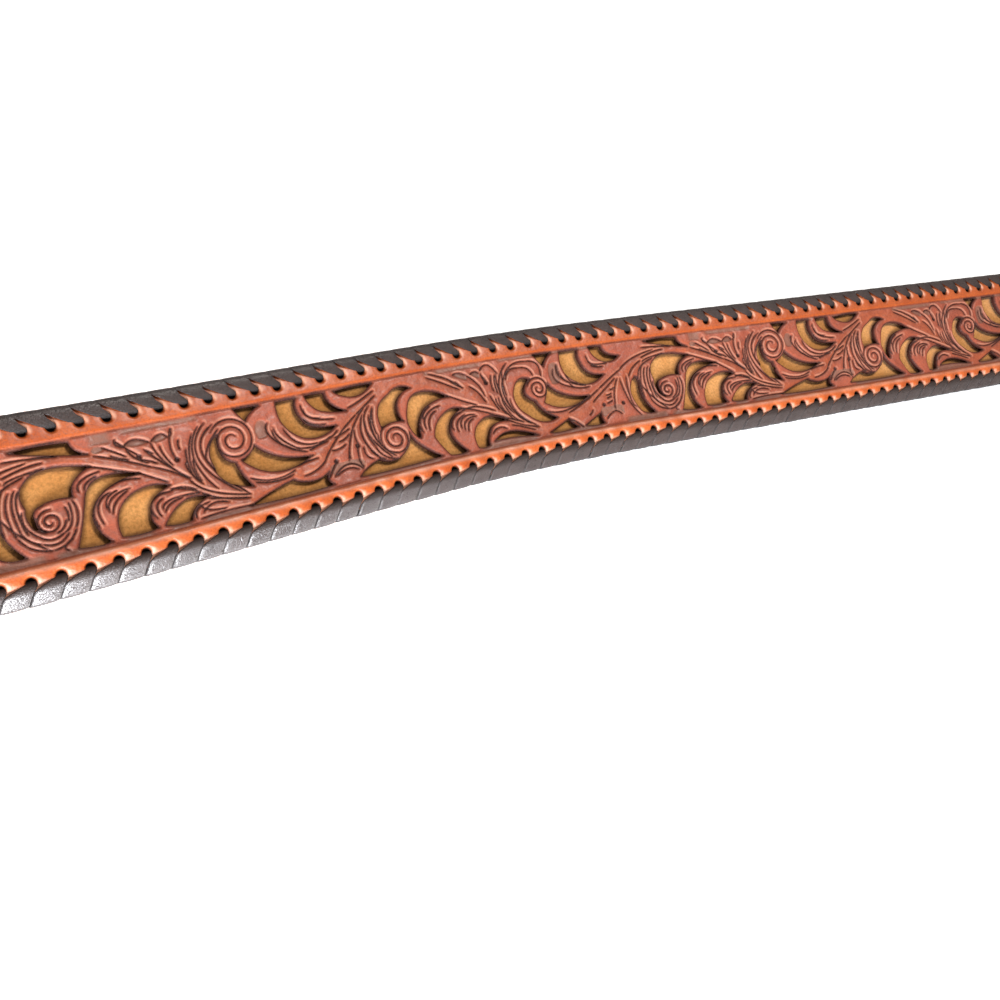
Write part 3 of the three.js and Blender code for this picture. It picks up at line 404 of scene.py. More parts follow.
# %% Knife cuts of one repeat
CUTS = {
    "first stem": [
        (12, 7.6, 17.5, 5.4, 23.1, 2.6), (23.1, 2.6, 26.9, 0.6, 30, -1.8),
        (30, -1.8, 34, -5.6, 42.2, -8.3), (10.3, 5.6, 15.3, 3.8, 20, 1.8),
        (20, 1.8, 23.1, -0.1, 25.6, -1.6), (25.6, -2.9, 28.8, -3.8, 31.6, -5.1),
        (31.6, -5.1, 35.9, -7.6, 41.9, -9),
    ],
    "low scroll body": [
        (-4.9, 3.4, -6, -0.5, -5.2, -6), (-5.2, -6, -3, -8.7, 0.5, -9.9),
        (0.5, -9.9, 3.5, -9, 5.6, -6.5), (5.6, -6.5, 6.6, -3.5, 6, -0.8),
        (-3.8, 3.7, -4.9, 0.6, -4.6, -4), (-4.6, -4, -3.6, -6.6, -1.2, -8.2),
        (-1.2, -8.2, 1.6, -8.7, 4, -7), (-3.2, 3.2, -4.1, -0.5, -3.2, -5.8),
        (-3.4, -1, -3.3, -4, -1.4, -6.6), (-1.4, -6.6, 0.6, -7.7, 3.2, -6.9),
        (3.2, -6.9, 5.1, -5, 5.3, -1), (4.3, -4.4, 3.6, -5.8, 2.2, -6.7),
        (4.5, -1.6, 4.8, -3, 4.6, -4.6), (-6, 4, -7.3, 0, -7.4, -5), (-5.5, 6.5, -1.4, 7.75, 2.3, 8.2),
        (-5.3, 5.1, -3.3, 6.1, 2.3, 7), (-6, 4, -4.6, 4.9, -1.8, 5.9), (-4.9, 9.5, -0.2, 9.3, 5.1, 8.8),
        (3.4, -10.6, 2.8, -9.6, 4.6, -8.3),
    ],
    "leaf ribs": [
        (9.9, -7.6, 9.5, -2.4, 12.6, 0.4), (12.6, 0.4, 15.5, 1.2, 20, 0.8),
        (10.9, -7, 10.7, -2.8, 13.6, -0.6), (21.4, -8.6, 20.9, -4.7, 25.5, -3.5),
        (25.5, -3.5, 28, -3.1, 31, -4.4), (22.4, -8.4, 22, -6, 23.6, -4.6),
        (29.5, -10.7, 30.2, -8.6, 33, -7.7), (31, -9.8, 33.6, -8.3, 37, -8.9),
        (30.2, -11, 36, -10.6, 42, -10.8), (53, 1, 55.5, -0.7, 58, -1.7), (51, 5, 52, 1.9, 55.4, -0.8),
        (59.6, 9.8, 60.4, 6.8, 63.6, 5.6), (90.4, -0.4, 90.8, 1.3, 92.9, 2.7),
        (89.4, -3.6, 89.6, 1.2, 93.4, 3.8), (97.8, -4.8, 98.4, -2, 101.5, -0.5),
        (101.5, -0.5, 106, 0.1, 111.5, -1.9), (99.2, -5.4, 99.6, -2.9, 102.4, -1.2),
        (134.4, 8, 134.7, 5.2, 136.8, 2.2), (136.8, 2.2, 139, 0.5, 143, 0.3),
        (136.6, 4.4, 137.4, 2.8, 139.6, 1.6), (144.4, 9.4, 145.2, 7, 147.6, 5.6),
    ],
    "fringes": [
        (17.1, 10.2, 17, 9, 18.4, 8.1), (28, 8.3, 28.7, 8.9, 28.9, 10.2),
        (22.5, 6.5, 23.1, 6.1, 23.8, 5.4), (15.3, 6.8, 17, 5.9, 18.8, 5.2),
        (31, 5, 30.6, 2.4, 31, -1.6), (32, 2.4, 31.8, 0, 32.6, -2.8), (20.6, 4.8, 22.4, 4.2, 24.2, 3.1),
        (95.4, 10.9, 100, 8.9, 103.6, 6.2), (112.6, 1.2, 113, -0.7, 114.6, -3.5),
        (113.7, 1.5, 114.4, -2, 117, -5.4), (114.8, 8, 114.5, 4.6, 114.8, 0.9),
        (114.8, 0.9, 116, -3.5, 119.4, -6.6), (116.8, 8.4, 116.2, 5, 116.2, 1.5),
        (116.2, 1.5, 117.4, -3, 121.5, -7.2), (110.3, 8.4, 111.1, 7.3, 111.6, 5.9),
        (117.1, 5.9, 119, 8.4, 122.1, 8.7), (122.1, 8.7, 124.8, 8, 125.9, 5.9),
        (68.1, -6, 68.5, -3.4, 70.3, 0.6),
    ],
    "second low scroll body": [
        (73.1, 2.1, 72.8, -1, 73.8, -4.8), (73.8, -4.8, 75, -6.6, 77, -7.9),
        (74.4, 2.4, 74.2, -1, 75.3, -4.4), (75.3, -4.4, 77, -7.2, 80.3, -8.5),
        (75.9, 3.7, 75.6, 0, 76.3, -3.5), (77.5, 5.2, 76.5, 1.5, 76.7, -1.6),
        (76.7, -1.6, 77.4, -5.3, 81, -7.2), (71.2, 1, 70.9, -1, 71.4, -3),
    ],
    "low leaves": [
        (7.8, 0.6, 8.6, 2.8, 12.5, 4), (8.8, 0.9, 9.6, 2.3, 11.6, 3.2),
        (12.2, -4.1, 12.8, -1.8, 15, -0.7), (12.5, -4.8, 13.6, -2, 17.5, -0.7),
        (13.1, -5.4, 14.3, -3, 16.9, -1.3), (23.1, -6.9, 25.2, -5.2, 31.6, -5.2),
        (23.4, -7.6, 24.8, -6.1, 27.5, -5.4), (33, -7, 36.9, -7.9, 41.9, -9),
        (30.6, -7.9, 32.5, -9.5, 36.2, -10),
    ],
    "first flower": [
        (14.1, 8.7, 16.3, 7.3, 18.4, 5.8), (16.9, 9.8, 18.8, 7.8, 21.2, 5.5),
        (28.8, 10.1, 27.9, 6.5, 28.4, 3.4), (22.2, 6.7, 24.8, 3.6, 30, -1.7),
        (23.9, 7.9, 26, 2.8, 30.3, -1.6), (25.6, 7, 26, 4.6, 27.3, 2),
        (18.8, 7.3, 20.2, 5.2, 22.5, 3.6), (30.5, 2.1, 30.3, 0.3, 32.2, -3.2),
        (29.8, 7.2, 29.5, 6, 29.6, 5), (18.4, 8.1, 20.8, 9.3, 23.8, 8), (24.1, 8, 26.3, 9.3, 27.8, 8.2),
    ],
    "first high scroll": [
        (33.1, 8.1, 31.2, 2.1, 32.6, -3.6), (34.7, 9.3, 32.1, 2.6, 35.4, -5.4),
        (36.3, 9.9, 33.1, 2.1, 40.3, -7.2), (38, 9.3, 34.4, 2.5, 42.2, -8.1),
        (39, 8, 35.2, 3.5, 35.4, 0.5), (43.1, -4.8, 48.5, -6.4, 53.8, -5.4),
        (44.1, -6, 48.8, -6.9, 53.1, -6.3),
    ],
    "second stem": [
        (61.3, -5.1, 66.8, 0.4, 72.8, 4.6), (72.8, 4.6, 76, 6.5, 79.1, 8.4),
        (71.2, 6.5, 75, 7.8, 79, 9.6), (55, -4.4, 57.5, -4.1, 60.3, -3.8),
        (61.9, -4.8, 59, -6.6, 55.6, -7.3),
    ],
    "high leaves": [
        (53.8, 4.9, 56.6, 0.9, 61.3, -0.2), (61.3, -0.2, 64.4, 0.3, 66.9, 1.8),
        (51.6, 5.6, 52.8, 2.4, 56.9, -1), (50.5, 7.1, 50.1, 4.2, 53.1, 0.6),
        (55.6, -0.1, 60, -0.9, 64.7, 0.6), (58.8, -1.6, 61.2, -0.9, 63.8, -0.4),
        (60, 8.4, 61.6, 5.9, 66.9, 4.6), (59.4, 6.2, 61.4, 4.6, 64.4, 4),
    ],
    "second flower": [
        (75, 5.6, 70.6, 0.8, 67.6, -6.3), (64.1, -2.9, 66, -2.9, 68.1, -2.1),
        (70.8, -3.2, 70.4, -6.2, 70.9, -8.5), (72.3, -3.8, 72.5, -6, 74.1, -7.3),
        (64.6, -5.5, 63.2, -7, 61.6, -9), (62.8, -9.3, 67, -7.1, 70.6, -9.1),
        (63.5, -9.2, 66.6, -8, 69.4, -8.8), (65.5, 0, 67.7, 0.6, 70, 1.5),
        (66.4, -1.2, 68, -0.8, 69.6, 0.2),
    ],
    "second low scroll": [
        (74.4, 4.3, 72.9, -1.6, 75.9, -7.3), (76.6, 5.9, 74.3, -0.2, 79.4, -8.5),
        (77.5, 5.6, 75.9, -1.6, 80, -7.9),
    ],
    "third stem": [
        (94.3, 10.3, 98.4, 8.2, 102.8, 5.6), (98.7, 4.6, 102.8, 2.4, 106.5, 0.6),
        (102.1, 0.6, 109, -2, 118.4, -6.2), (113.7, -4.1, 117.4, -6.5, 123.7, -8.5),
        (115.3, -6.6, 118.4, -7.6, 122.1, -9.1), (100.9, 8.4, 102.2, 7.1, 104, 5.9),
        (102.4, 7.8, 103.1, 6.9, 104, 5.8),
    ],
    "second low leaves": [
        (90.2, -2.9, 91.4, 0.6, 95.9, 2.4), (91.2, -3.5, 92.1, -0.4, 94.3, 1.2),
        (100.4, -4.8, 101.5, -2.1, 105.3, -1.9), (101.2, -5.4, 102.2, -3, 105.6, -2.3),
        (102.1, -6, 102.8, -3.9, 104.3, -3), (109, -7.9, 111.2, -6.6, 113.7, -7.3),
    ],
    "third flower": [
        (105.9, 8.8, 108.6, 6, 109.7, 2.4), (105.9, 5.9, 108, 4, 109.6, 0.9),
        (102.1, 9.6, 103.9, 9.9, 106, 8.9), (107.3, 9, 108.8, 9.6, 110, 9),
        (110.3, 9, 110.6, 7.4, 111.3, 5.8), (111.2, 2.4, 111.8, 0.6, 112.8, -1.9),
        (110.3, 9.6, 113, 10.9, 115.3, 8.1), (113.4, 8, 112.9, 5.9, 113, 3.4),
        (114.3, 7.8, 113.7, 5.3, 113.7, 2.8),
    ],
    "second high scroll": [
        (118.7, 10.6, 114.6, 4, 116.8, -3.5), (119.3, 9, 115.5, 2.5, 119.3, -6),
        (117.1, 0.6, 118.6, -4, 123.7, -8.2), (115.9, 4.6, 119.6, 9.5, 125, 10.2),
        (125, 10.2, 128.2, 9, 128.5, 5.4),
    ],
    "fourth stem": [
        (154.3, 3.7, 159.3, 6.7, 167.1, 8.5), (134.3, -6.3, 139.9, -4.1, 146, -0.9),
        (146, -0.9, 150, 1.4, 154.3, 3.7), (152, 1.5, 147.5, -1.4, 143, -4.4),
        (148, -3, 149, -2.9, 149.9, -2.6), (148, -4, 148.8, -3.8, 149.6, -3.5),
        (149.6, -1.6, 150.3, -1.5, 151, -1.2), (147.7, -5.4, 148.6, -5.2, 149.6, -4.8),
        (140.8, -7.9, 141.6, -7.4, 142.4, -6.6),
    ],
    "fourth flower": [
        (153, 1.5, 151, -2.4, 150.2, -7.3), (146.4, -9.8, 149.5, -7.9, 151.8, -9.1),
        (153.9, 1.2, 155.2, -5.4, 158.3, -10.4), (156.1, 1.5, 155.8, -4.8, 157.1, -7.9),
        (162, 5.7, 159, 4, 157, 1.5), (163.3, 4.9, 160.4, -1, 168, -9.8),
    ],
    "second high leaves": [
        (134.4, 8, 135.2, 3.6, 142, 0.6), (133, 7.1, 133.8, 3, 140.5, 0.3),
        (144.6, 7.8, 146.5, 6.5, 150.5, 6.4), (145.2, 6.3, 146.9, 5.6, 149, 5.6),
        (128, -4.8, 133.5, -5.5, 142.7, -3), (133.9, -7.9, 136.1, -9.1, 138, -11),
    ],
}
print(sum(len(rows) for rows in CUTS.values()), "knife cuts in one repeat")

# %% [markdown]
# Scroll hearts are cut as spirals. A row of this table is one: its centre, the radius where it
# starts and ends, how many turns it makes, the angle at which it starts, and the way it winds.
# The seeds are single round dots, pressed with a small round stamp, given by their centres.

# %% Spirals of one repeat
SPIRALS = [
    # centre u and v, outer radius, inner radius, turns, start angle, way (1 is anticlockwise)
    (1.1, -4.1, 2.6, 0.5, 1.7, 80, 1),
    (41.6, 4.8, 5.2, 1.0, 2.3, 150, -1),
    (81.3, -3.5, 4.4, 0.8, 2.2, 100, 1),
    (126.6, 2, 3.4, 0.6, 2.1, 160, -1),
]
SEEDS = [(21, 5.3), (28.5, 3), (70.8, -3.2), (64.3, -5.7), (111.2, 6), (146.4, -5.7), (153, -6)]
SPIRAL_COARSENESS = 1.5  # its straight pieces are this much longer than a bow's


def spiral(centre_u, centre_v, outer, inner, turns, start, way):
    share = np.linspace(0, 1, int(turns * 2 * np.pi * outer / BOW_STEP / SPIRAL_COARSENESS))
    angle = np.radians(start) + way * share * turns * 2 * np.pi
    radius = outer + (inner - outer) * share
    return np.stack([centre_u + radius * np.cos(angle), centre_v + radius * np.sin(angle)], -1)


cut_lines = [bow(row[0:2], row[2:4], row[4:6]) for rows in CUTS.values() for row in rows]
cut_lines += [spiral(*row) for row in SPIRALS]
print(len(cut_lines), "lines with the spirals")

# %% [markdown]
# ## Measuring on the leather
#
# The carving could be sculpted, or baked to a bump. Here it is real relief: every point of a fine
# grid asks how far it is from the nearest cut, and that distance sets its depth and how much dark
# antique finish stays there. The three helpers measure distances, tell inside from outside, and
# give the slow, seeded unevenness that hand work has.

# %% Distances and drift
LATTICE = 97  # random values along each side of the table that drift reads


def nearest(points, line):
    """Distance to a line, the nearest place on it, and its share of the line, for each point."""
    best = np.full(len(points), np.inf)
    place = np.zeros_like(points)
    share = np.zeros(len(points))
    lengths = np.hypot(*np.diff(line, axis=0).T)
    passed = np.concatenate([[0], np.cumsum(lengths)]) / lengths.sum()
    for k in range(len(line) - 1):
        step = line[k + 1] - line[k]
        part = np.clip(((points - line[k]) @ step) / (step @ step), 0, 1)
        foot = line[k] + part[:, None] * step
        off = np.hypot(*(points - foot).T)
        closer = off < best
        best[closer], place[closer] = off[closer], foot[closer]
        share[closer] = (passed[k] + (passed[k + 1] - passed[k]) * part)[closer]
    return best, place, share


def inside(points, outline):
    """Whether each point is inside a closed outline, by counting crossings."""
    within = np.zeros(len(points), bool)
    for start, end in zip(outline, np.roll(outline, -1, axis=0)):
        spans = (start[1] > points[:, 1]) != (end[1] > points[:, 1])
        rise = end[1] - start[1] if end[1] != start[1] else 1.0
        crossing = start[0] + (points[:, 1] - start[1]) / rise * (end[0] - start[0])
        within ^= spans & (points[:, 0] < crossing)
    return within


def drift(x, y, size, seed):
    """Smooth random values from -1 to 1 that change over about one size."""
    lattice = np.random.default_rng(seed).uniform(-1, 1, (LATTICE, LATTICE))
    column, row = x / size, y / size
    i, j = np.floor(column).astype(int), np.floor(row).astype(int)
    s, t = column - i, row - j
    s, t = s * s * (3 - 2 * s), t * t * (3 - 2 * t)
    corner = lambda di, dj: lattice[(i + di) % LATTICE, (j + dj) % LATTICE]
    near = corner(0, 0) * (1 - s) + corner(1, 0) * s
    far = corner(0, 1) * (1 - s) + corner(1, 1) * s
    return near * (1 - t) + far * t


def rising(value, low, high):
    """0 below low and 1 above high, with a soft step between them."""
    share = np.clip((value - low) / (high - low), 0, 1)
    return share * share * (3 - 2 * share)


# %% Mesh from arrays
def mesh_piece(name, points, faces, layers=None):
    """A smooth mesh from points in millimetres, faces of one size, and layers of a value per point."""
    mesh = bpy.data.meshes.new(name)
    mesh.vertices.add(len(points))
    mesh.vertices.foreach_set("co", (points * MM).astype(np.float32).ravel())
    mesh.loops.add(faces.size)
    mesh.loops.foreach_set("vertex_index", faces.astype(np.int32).ravel())
    mesh.polygons.add(len(faces))
    mesh.polygons.foreach_set("loop_start", np.arange(0, faces.size, faces.shape[1], dtype=np.int32))
    mesh.update(calc_edges=True)
    for layer, values in (layers or {}).items():
        mesh.attributes.new(layer, "FLOAT", "POINT").data.foreach_set("value", values.astype(np.float32))
    mesh.shade_smooth()
    mesh.validate()
    piece = bpy.data.objects.new(name, mesh)
    bpy.context.scene.collection.objects.link(piece)
    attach(piece, "root")
    print(name, "has", sum(len(face.vertices) - 2 for face in mesh.polygons), "triangles")
    return piece


# %% [markdown]
# ## A leather sheet with openings
#
# Both straps are made by one function, as both are cut from a side of leather with the same
# knife. It lays a grid over the strap, drops the squares that fall in an opening and slides the
# corners at the rim onto the drawn outline, so a curved cut stays smooth on a coarse grid. Then it
# turns the rim down into walls as thick as the leather. A boolean would do the cutting as well,
# but it leaves long thin faces that spoil the shading of carved leather.

# %% Sheet maker
TIP_TAPER = 30.0
TIP_CHEEK = {"back": 0.3, "wide": 0.9}  # where the tip's bow bulges, as shares of taper and width
TIP_STEPS = 60
FAR_AWAY = 99.0
RIM_REACH = 4.0  # how far round an opening the distance to it is measured
WALL_LEVELS = [0.35, 0.7, 1.0]  # rings of a wall, as shares of the way down


def half_width(distance):
    """Half the strap's width: full, and at the tip drawn in along one bow on each side."""
    share = np.linspace(0, 1, TIP_STEPS)
    back = TIP_TAPER * ((1 - share) ** 2 + 2 * share * (1 - share) * TIP_CHEEK["back"])
    wide = HALF_WIDTH * ((1 - share) ** 2 + 2 * share * (1 - share) * TIP_CHEEK["wide"])
    return np.interp(distance, STRAP_LENGTH - back, wide, left=HALF_WIDTH)


def window(columns, rows, line, margin):
    (low_x, low_y), (high_x, high_y) = line.min(0) - margin, line.max(0) + margin
    i0, i1 = np.searchsorted(columns, [low_x, high_x])
    j0, j1 = np.searchsorted(rows * HALF_WIDTH, [low_y, high_y])
    return slice(i0, i1), slice(j0, j1)


def cut_grid(columns, rows, openings):
    """The grid of a sheet: its points, how far each is from an opening, and which squares are kept."""
    x, share = np.meshgrid(columns, rows, indexing="ij")
    grid = np.stack([x, share * half_width(x)], -1)
    rim = np.full(x.shape, FAR_AWAY)
    foot = grid.copy()
    for outline in openings:
        at = window(columns, rows, outline, RIM_REACH)
        points = grid[at].reshape(-1, 2)
        if not len(points):
            continue
        off, place, _ = nearest(points, np.vstack([outline, outline[:1]]))
        off = np.where(inside(points, outline), -off, off).reshape(rim[at].shape)
        closer = off < rim[at]
        rim[at] = np.where(closer, off, rim[at])
        foot[at] = np.where(closer[..., None], place.reshape(foot[at].shape), foot[at])
    outside = rim > 0
    kept = outside[:-1, :-1] | outside[1:, :-1] | outside[:-1, 1:] | outside[1:, 1:]
    used = np.zeros(x.shape, bool)
    for di in (0, 1):
        for dj in (0, 1):
            used[di:x.shape[0] - 1 + di, dj:x.shape[1] - 1 + dj] |= kept
    on_rim = used & ~outside
    grid[on_rim] = foot[on_rim]
    rim = np.where(on_rim, 0, rim)
    return grid, rim, kept


def rim_edges(kept, ends):
    """Edges of kept squares without a kept neighbour, as pairs of grid indices, leather on the left."""
    i, j = np.nonzero(kept)
    nr = kept.shape[1] + 1
    index = lambda a, b: a * nr + b
    padded = np.pad(kept, 1)
    padded[0, :] |= not ends[0]
    padded[-1, :] |= not ends[1]
    sides = [
        (index(i, j), index(i + 1, j), padded[i + 1, j]),
        (index(i + 1, j), index(i + 1, j + 1), padded[i + 2, j + 1]),
        (index(i + 1, j + 1), index(i, j + 1), padded[i + 1, j + 2]),
        (index(i, j + 1), index(i, j), padded[i, j + 1]),
    ]
    return np.concatenate([np.stack([a[~beside], b[~beside]], -1) for a, b, beside in sides])


def sheet(name, columns, rows, openings, finish, thickness, bend, ends=(True, True)):
    """One sheet of leather. finish gives the heights and layers from the places and rim distances."""
    grid, rim, kept = cut_grid(columns, rows, openings)
    flat, rim = grid.reshape(-1, 2), rim.ravel()
    height, layers = finish(flat[:, 0], flat[:, 1], rim)
    i, j = np.nonzero(kept)
    nr = len(rows)
    faces = np.stack([i * nr + j, (i + 1) * nr + j, (i + 1) * nr + j + 1, i * nr + j + 1], -1)
    edges = rim_edges(kept, ends)
    corners, edges = np.unique(edges, return_inverse=True)
    edges = edges.reshape(-1, 2)
    top = len(flat)
    walls, points, heights = [], [flat], [height]
    upper = corners[edges]
    for depth, share in enumerate(WALL_LEVELS):
        lower = top + depth * len(corners) + edges
        walls.append(np.stack([upper[:, 0], lower[:, 0], lower[:, 1], upper[:, 1]], -1))
        points.append(flat[corners])
        heights.append(height[corners] * (1 - share) - thickness * share)
        upper = lower
    points, heights = np.concatenate(points), np.concatenate(heights)
    for layer in layers:
        layers[layer] = np.concatenate([layers[layer]] + [layers[layer][corners]] * len(WALL_LEVELS))
    wall_shares = [np.full(len(corners), share) for share in WALL_LEVELS]
    layers["wall"] = np.concatenate([np.zeros(top)] + wall_shares)
    faces = np.concatenate([faces] + walls)
    used, faces = np.unique(faces, return_inverse=True)
    faces = faces.reshape(-1, 4)
    laid = bend(points[used, 0], points[used, 1], heights[used])
    return mesh_piece(name, laid, faces, {layer: values[used] for layer, values in layers.items()})


# %% [markdown]
# ## The tooled strap
#
# Under the swivel knife wet leather opens in a narrow V. The stamp presses one side of it down, and
# on the other side a small ridge stands up, which later takes the light. Round each opening the
# edge is rubbed smooth. Between the carving and the lacing runs a plain border. The lace pulls it
# down at each hole, so that it swells between the holes and the panel, and most at the near edge.

# %% Carving and border
CUT_WIDTH, CUT_DEPTH = 0.2, 0.42
BEVEL_REACH, BEVEL_DEPTH = 0.8, 0.3
RIDGE_OFF, RIDGE_WIDTH, RIDGE_HEIGHT = 0.5, 0.22, 0.1  # the leather that a cut pushes up beside itself
RIDGE_SIDE = np.array([0.8, 0.6])  # the stamp is held on the other side of every cut
CUT_REACH = 2.5  # how far from a cut its bevel is still worked out
CUT_DRIFT = 0.06  # how far the hand strays from the chart
SEED_DEPTH, SEED_RADIUS = 1.4, 0.6  # the depth is a share of a cut's
STEM_REACH, STEM_WARMTH = 5, 2.2
SHOULDER_REACH, SHOULDER_DEPTH = 0.4, 0.5
HOLE_DEPTH = 1.4
LACE_HOLE_RADIUS = 0.95
PULL_REACH = 1.7
FRAME_LINE_OFF, FRAME_LINE_WIDTH, FRAME_LINE_DEPTH = 0.1, 0.3, 0.25  # the line round the panel
BORDER = {
    # swell between panel and holes, pull at a hole, fall towards the strap's edge
    "far": (0.12, 0.15, 0.1),
    "near": (0.85, 0.5, 1.2),
}
SWELL_LEAN, SWELL_DRIFT = 0.62, 0.4
HAND_WAVES = [(0.1, 5, 3), (0.07, 1.7, 4), (0.03, 0.7, 5)]  # height, size and seed of each
MAT_DEPTH, MAT_PITCH, MAT_BITE, MAT_LEAN = 0.26, 0.5, 0.07, 0.35
PASTE = {"cut": 1.0, "bevel": 0.35, "shoulder": 0.9, "frame line": 0.45}  # where it stays, and how much
# pale coat: on the hole lips and the cut ridges it is rubbed wear and painted highlight, on the near
# crest and teeth painted highlight
WEAR_AND_HIGHLIGHT = {"lip_wear_and_highlight": 1.0, "crest": 0.8, "teeth": 0.7, "ridge": 0.6}  # where hands rub it off
STEMS = [
    # start, through, end of the line down the middle of each stem
    (4, 8.6, 18, 4.4, 31, -3.4), (31, -3.4, 36, -7, 42, -8.8), (42, -9.3, 58, -5.2, 80, 9.8),
    (80, 10, 98, 7.8, 110, 0), (110, 0, 116, -5, 124, -8.6), (124, -9, 142, -4.6, 168, 9),
]
STRIPS = [
    # side, start u, end u, inner v of each matted strip along the panel's edges
    (1, 11, 17.2, 9.6), (1, 17.2, 36, 10.9), (1, 55, 61, 11.2), (1, 67, 80, 11.3), (1, 93, 112, 10.8),
    (1, 115, 150, 11.2), (1, 163, 168, 11.4), (-1, 0, 11.4, 10.7), (-1, 13.6, 21, 10.6),
    (-1, 22.6, 29, 10.6), (-1, 30, 62, 11), (-1, 70, 93, 10.8), (-1, 95, 101, 10.9),
    (-1, 103.6, 123, 10.2), (-1, 126, 145.6, 10.7), (-1, 152, 168, 10.3),
]
PATCHES = {
    "tail of the first strip": (
        (12, 9),
        [(13, 9.4, 14.4, 8.8), (14, 8, 12.4, 7.6), (11.8, 8.4, 12, 9)],
    ),
    "beside first high scroll": (
        (47.4, 3.6),
        [(47, 6, 48.2, 8), (50, 7.6, 50, 5.6), (49.6, 3.8, 47.4, 3.6)],
    ),
    "beside second high scroll": (
        (131.2, 2.6),
        [(131, 6, 131.8, 8.4), (134.4, 8.4, 134.6, 5), (133.8, 2.6, 131.2, 2.6)],
    ),
    "under first petals": ((18.5, 8.1), [(20.8, 9.2, 23.7, 8), (21, 7.6, 18.5, 8.1)]),
    "under second petals": ((24.2, 8), [(26.2, 9.2, 27.7, 8.2), (25.6, 7.6, 24.2, 8)]),
    "under third petals": ((102.2, 9.4), [(103.9, 9.8, 105.9, 8.8), (105.4, 7.6, 102.2, 9.4)]),
    "under fourth petals": ((107.3, 8.9), [(108.8, 9.5, 110, 8.9), (109.4, 7.6, 107.3, 8.9)]),
    "first arch": ((62.8, -9), [(62.4, -6.6, 66, -6.2), (71, -6.6, 70.6, -9), (67, -7.1, 62.8, -9)]),
    "second arch": (
        (145.6, -9.4),
        [(145, -6.6, 148, -6.4), (152.4, -6.4, 152.4, -9.2), (149.5, -7.9, 145.6, -9.4)],
    ),
}

print(len(STRIPS), "matted strips and", len(PATCHES), "patches in one repeat")

# %% Relief of the tooled strap
FAR_ROW_SHIFT, NEAR_ROW_SHIFT = 0.0, 0.12


def stitch_places(side):
    """Where the lacing holes of one edge are, along the strap."""
    end = STRAP_LENGTH - TIP_TAPER
    count = int((end - LACED_MARGIN - STITCH_PITCH) // STITCH_PITCH)
    shift = FAR_ROW_SHIFT if side > 0 else NEAR_ROW_SHIFT
    return LACED_MARGIN + STITCH_PITCH * (np.arange(count) + 0.5 + shift)


def carve(columns, rows):
    """How deep the cuts go, how near the stems are and how matted the ground is, over one grid."""
    x, share = np.meshgrid(columns, rows, indexing="ij")
    grid = np.stack([x, share * HALF_WIDTH], -1)
    cut, bevel, ridge, matted, warm = (np.zeros(x.shape) for _ in range(5))
    for number, begin in enumerate(REPEAT_STARTS):
        shake = np.random.default_rng(number)
        for line in cut_lines:
            line = on_strap(line, begin) + shake.normal(0, CUT_DRIFT, 2)
            at = window(columns, rows, line, CUT_REACH)
            points = grid[at].reshape(-1, 2)
            if not len(points):
                continue
            off, foot, part = nearest(points, line)
            fade = np.minimum(1, 0.6 + 6 * np.minimum(part, 1 - part))
            raised = rising((points - foot) @ RIDGE_SIDE / np.maximum(off, 0.05), -0.2, 0.6)
            for table, values in (
                (cut, np.exp(-((off / CUT_WIDTH) ** 2))),
                (bevel, np.exp(-off / BEVEL_REACH) * (1 - 0.75 * raised)),
                (ridge, np.exp(-(((off - RIDGE_OFF) / RIDGE_WIDTH) ** 2)) * raised),
            ):
                table[at] = np.maximum(table[at], (fade * values).reshape(table[at].shape))
        for seed in SEEDS:
            place = on_strap(seed, begin)[0]
            at = window(columns, rows, place[None], CUT_REACH)
            off = np.hypot(*(grid[at] - place).transpose(2, 0, 1))
            cut[at] = np.maximum(cut[at], SEED_DEPTH * np.exp(-((off / SEED_RADIUS) ** 4)))
        for row in STEMS:
            line = on_strap(bow(row[0:2], row[2:4], row[4:6]), begin)
            at = window(columns, rows, line, STEM_REACH)
            points = grid[at].reshape(-1, 2)
            if len(points):
                off = nearest(points, line)[0].reshape(warm[at].shape)
                warm[at] = np.maximum(warm[at], np.exp(-((off / STEM_WARMTH) ** 2)))
        for start, sides in PATCHES.values():
            outline = on_strap(gap_outline(start, sides), begin)
            at = window(columns, rows, outline, 1)
            points = grid[at].reshape(-1, 2)
            if len(points):
                off = nearest(points, np.vstack([outline, outline[:1]]))[0]
                off = np.where(inside(points, outline), off, -off).reshape(matted[at].shape)
                matted[at] = np.maximum(matted[at], rising(off, -0.1, 0.25))
        for side, start, end, inner in STRIPS:
            i0, i1 = np.searchsorted(columns, begin + np.array([start, end]) * REPEAT / CHART_ALONG)
            if i1 > i0:
                taper = np.minimum(x[i0:i1] - x[i0, 0], x[i1 - 1, 0] - x[i0:i1])
                depth = side * grid[i0:i1, :, 1] - inner * PANEL_HALF / CHART_ACROSS
                strip = rising(depth, -0.5, 0.4) * rising(PANEL_HALF - side * grid[i0:i1, :, 1], 0, 0.3)
                matted[i0:i1] = np.maximum(matted[i0:i1], strip * rising(taper, 0, 2))
    return [table.ravel() for table in (cut, bevel, ridge, matted, warm)]


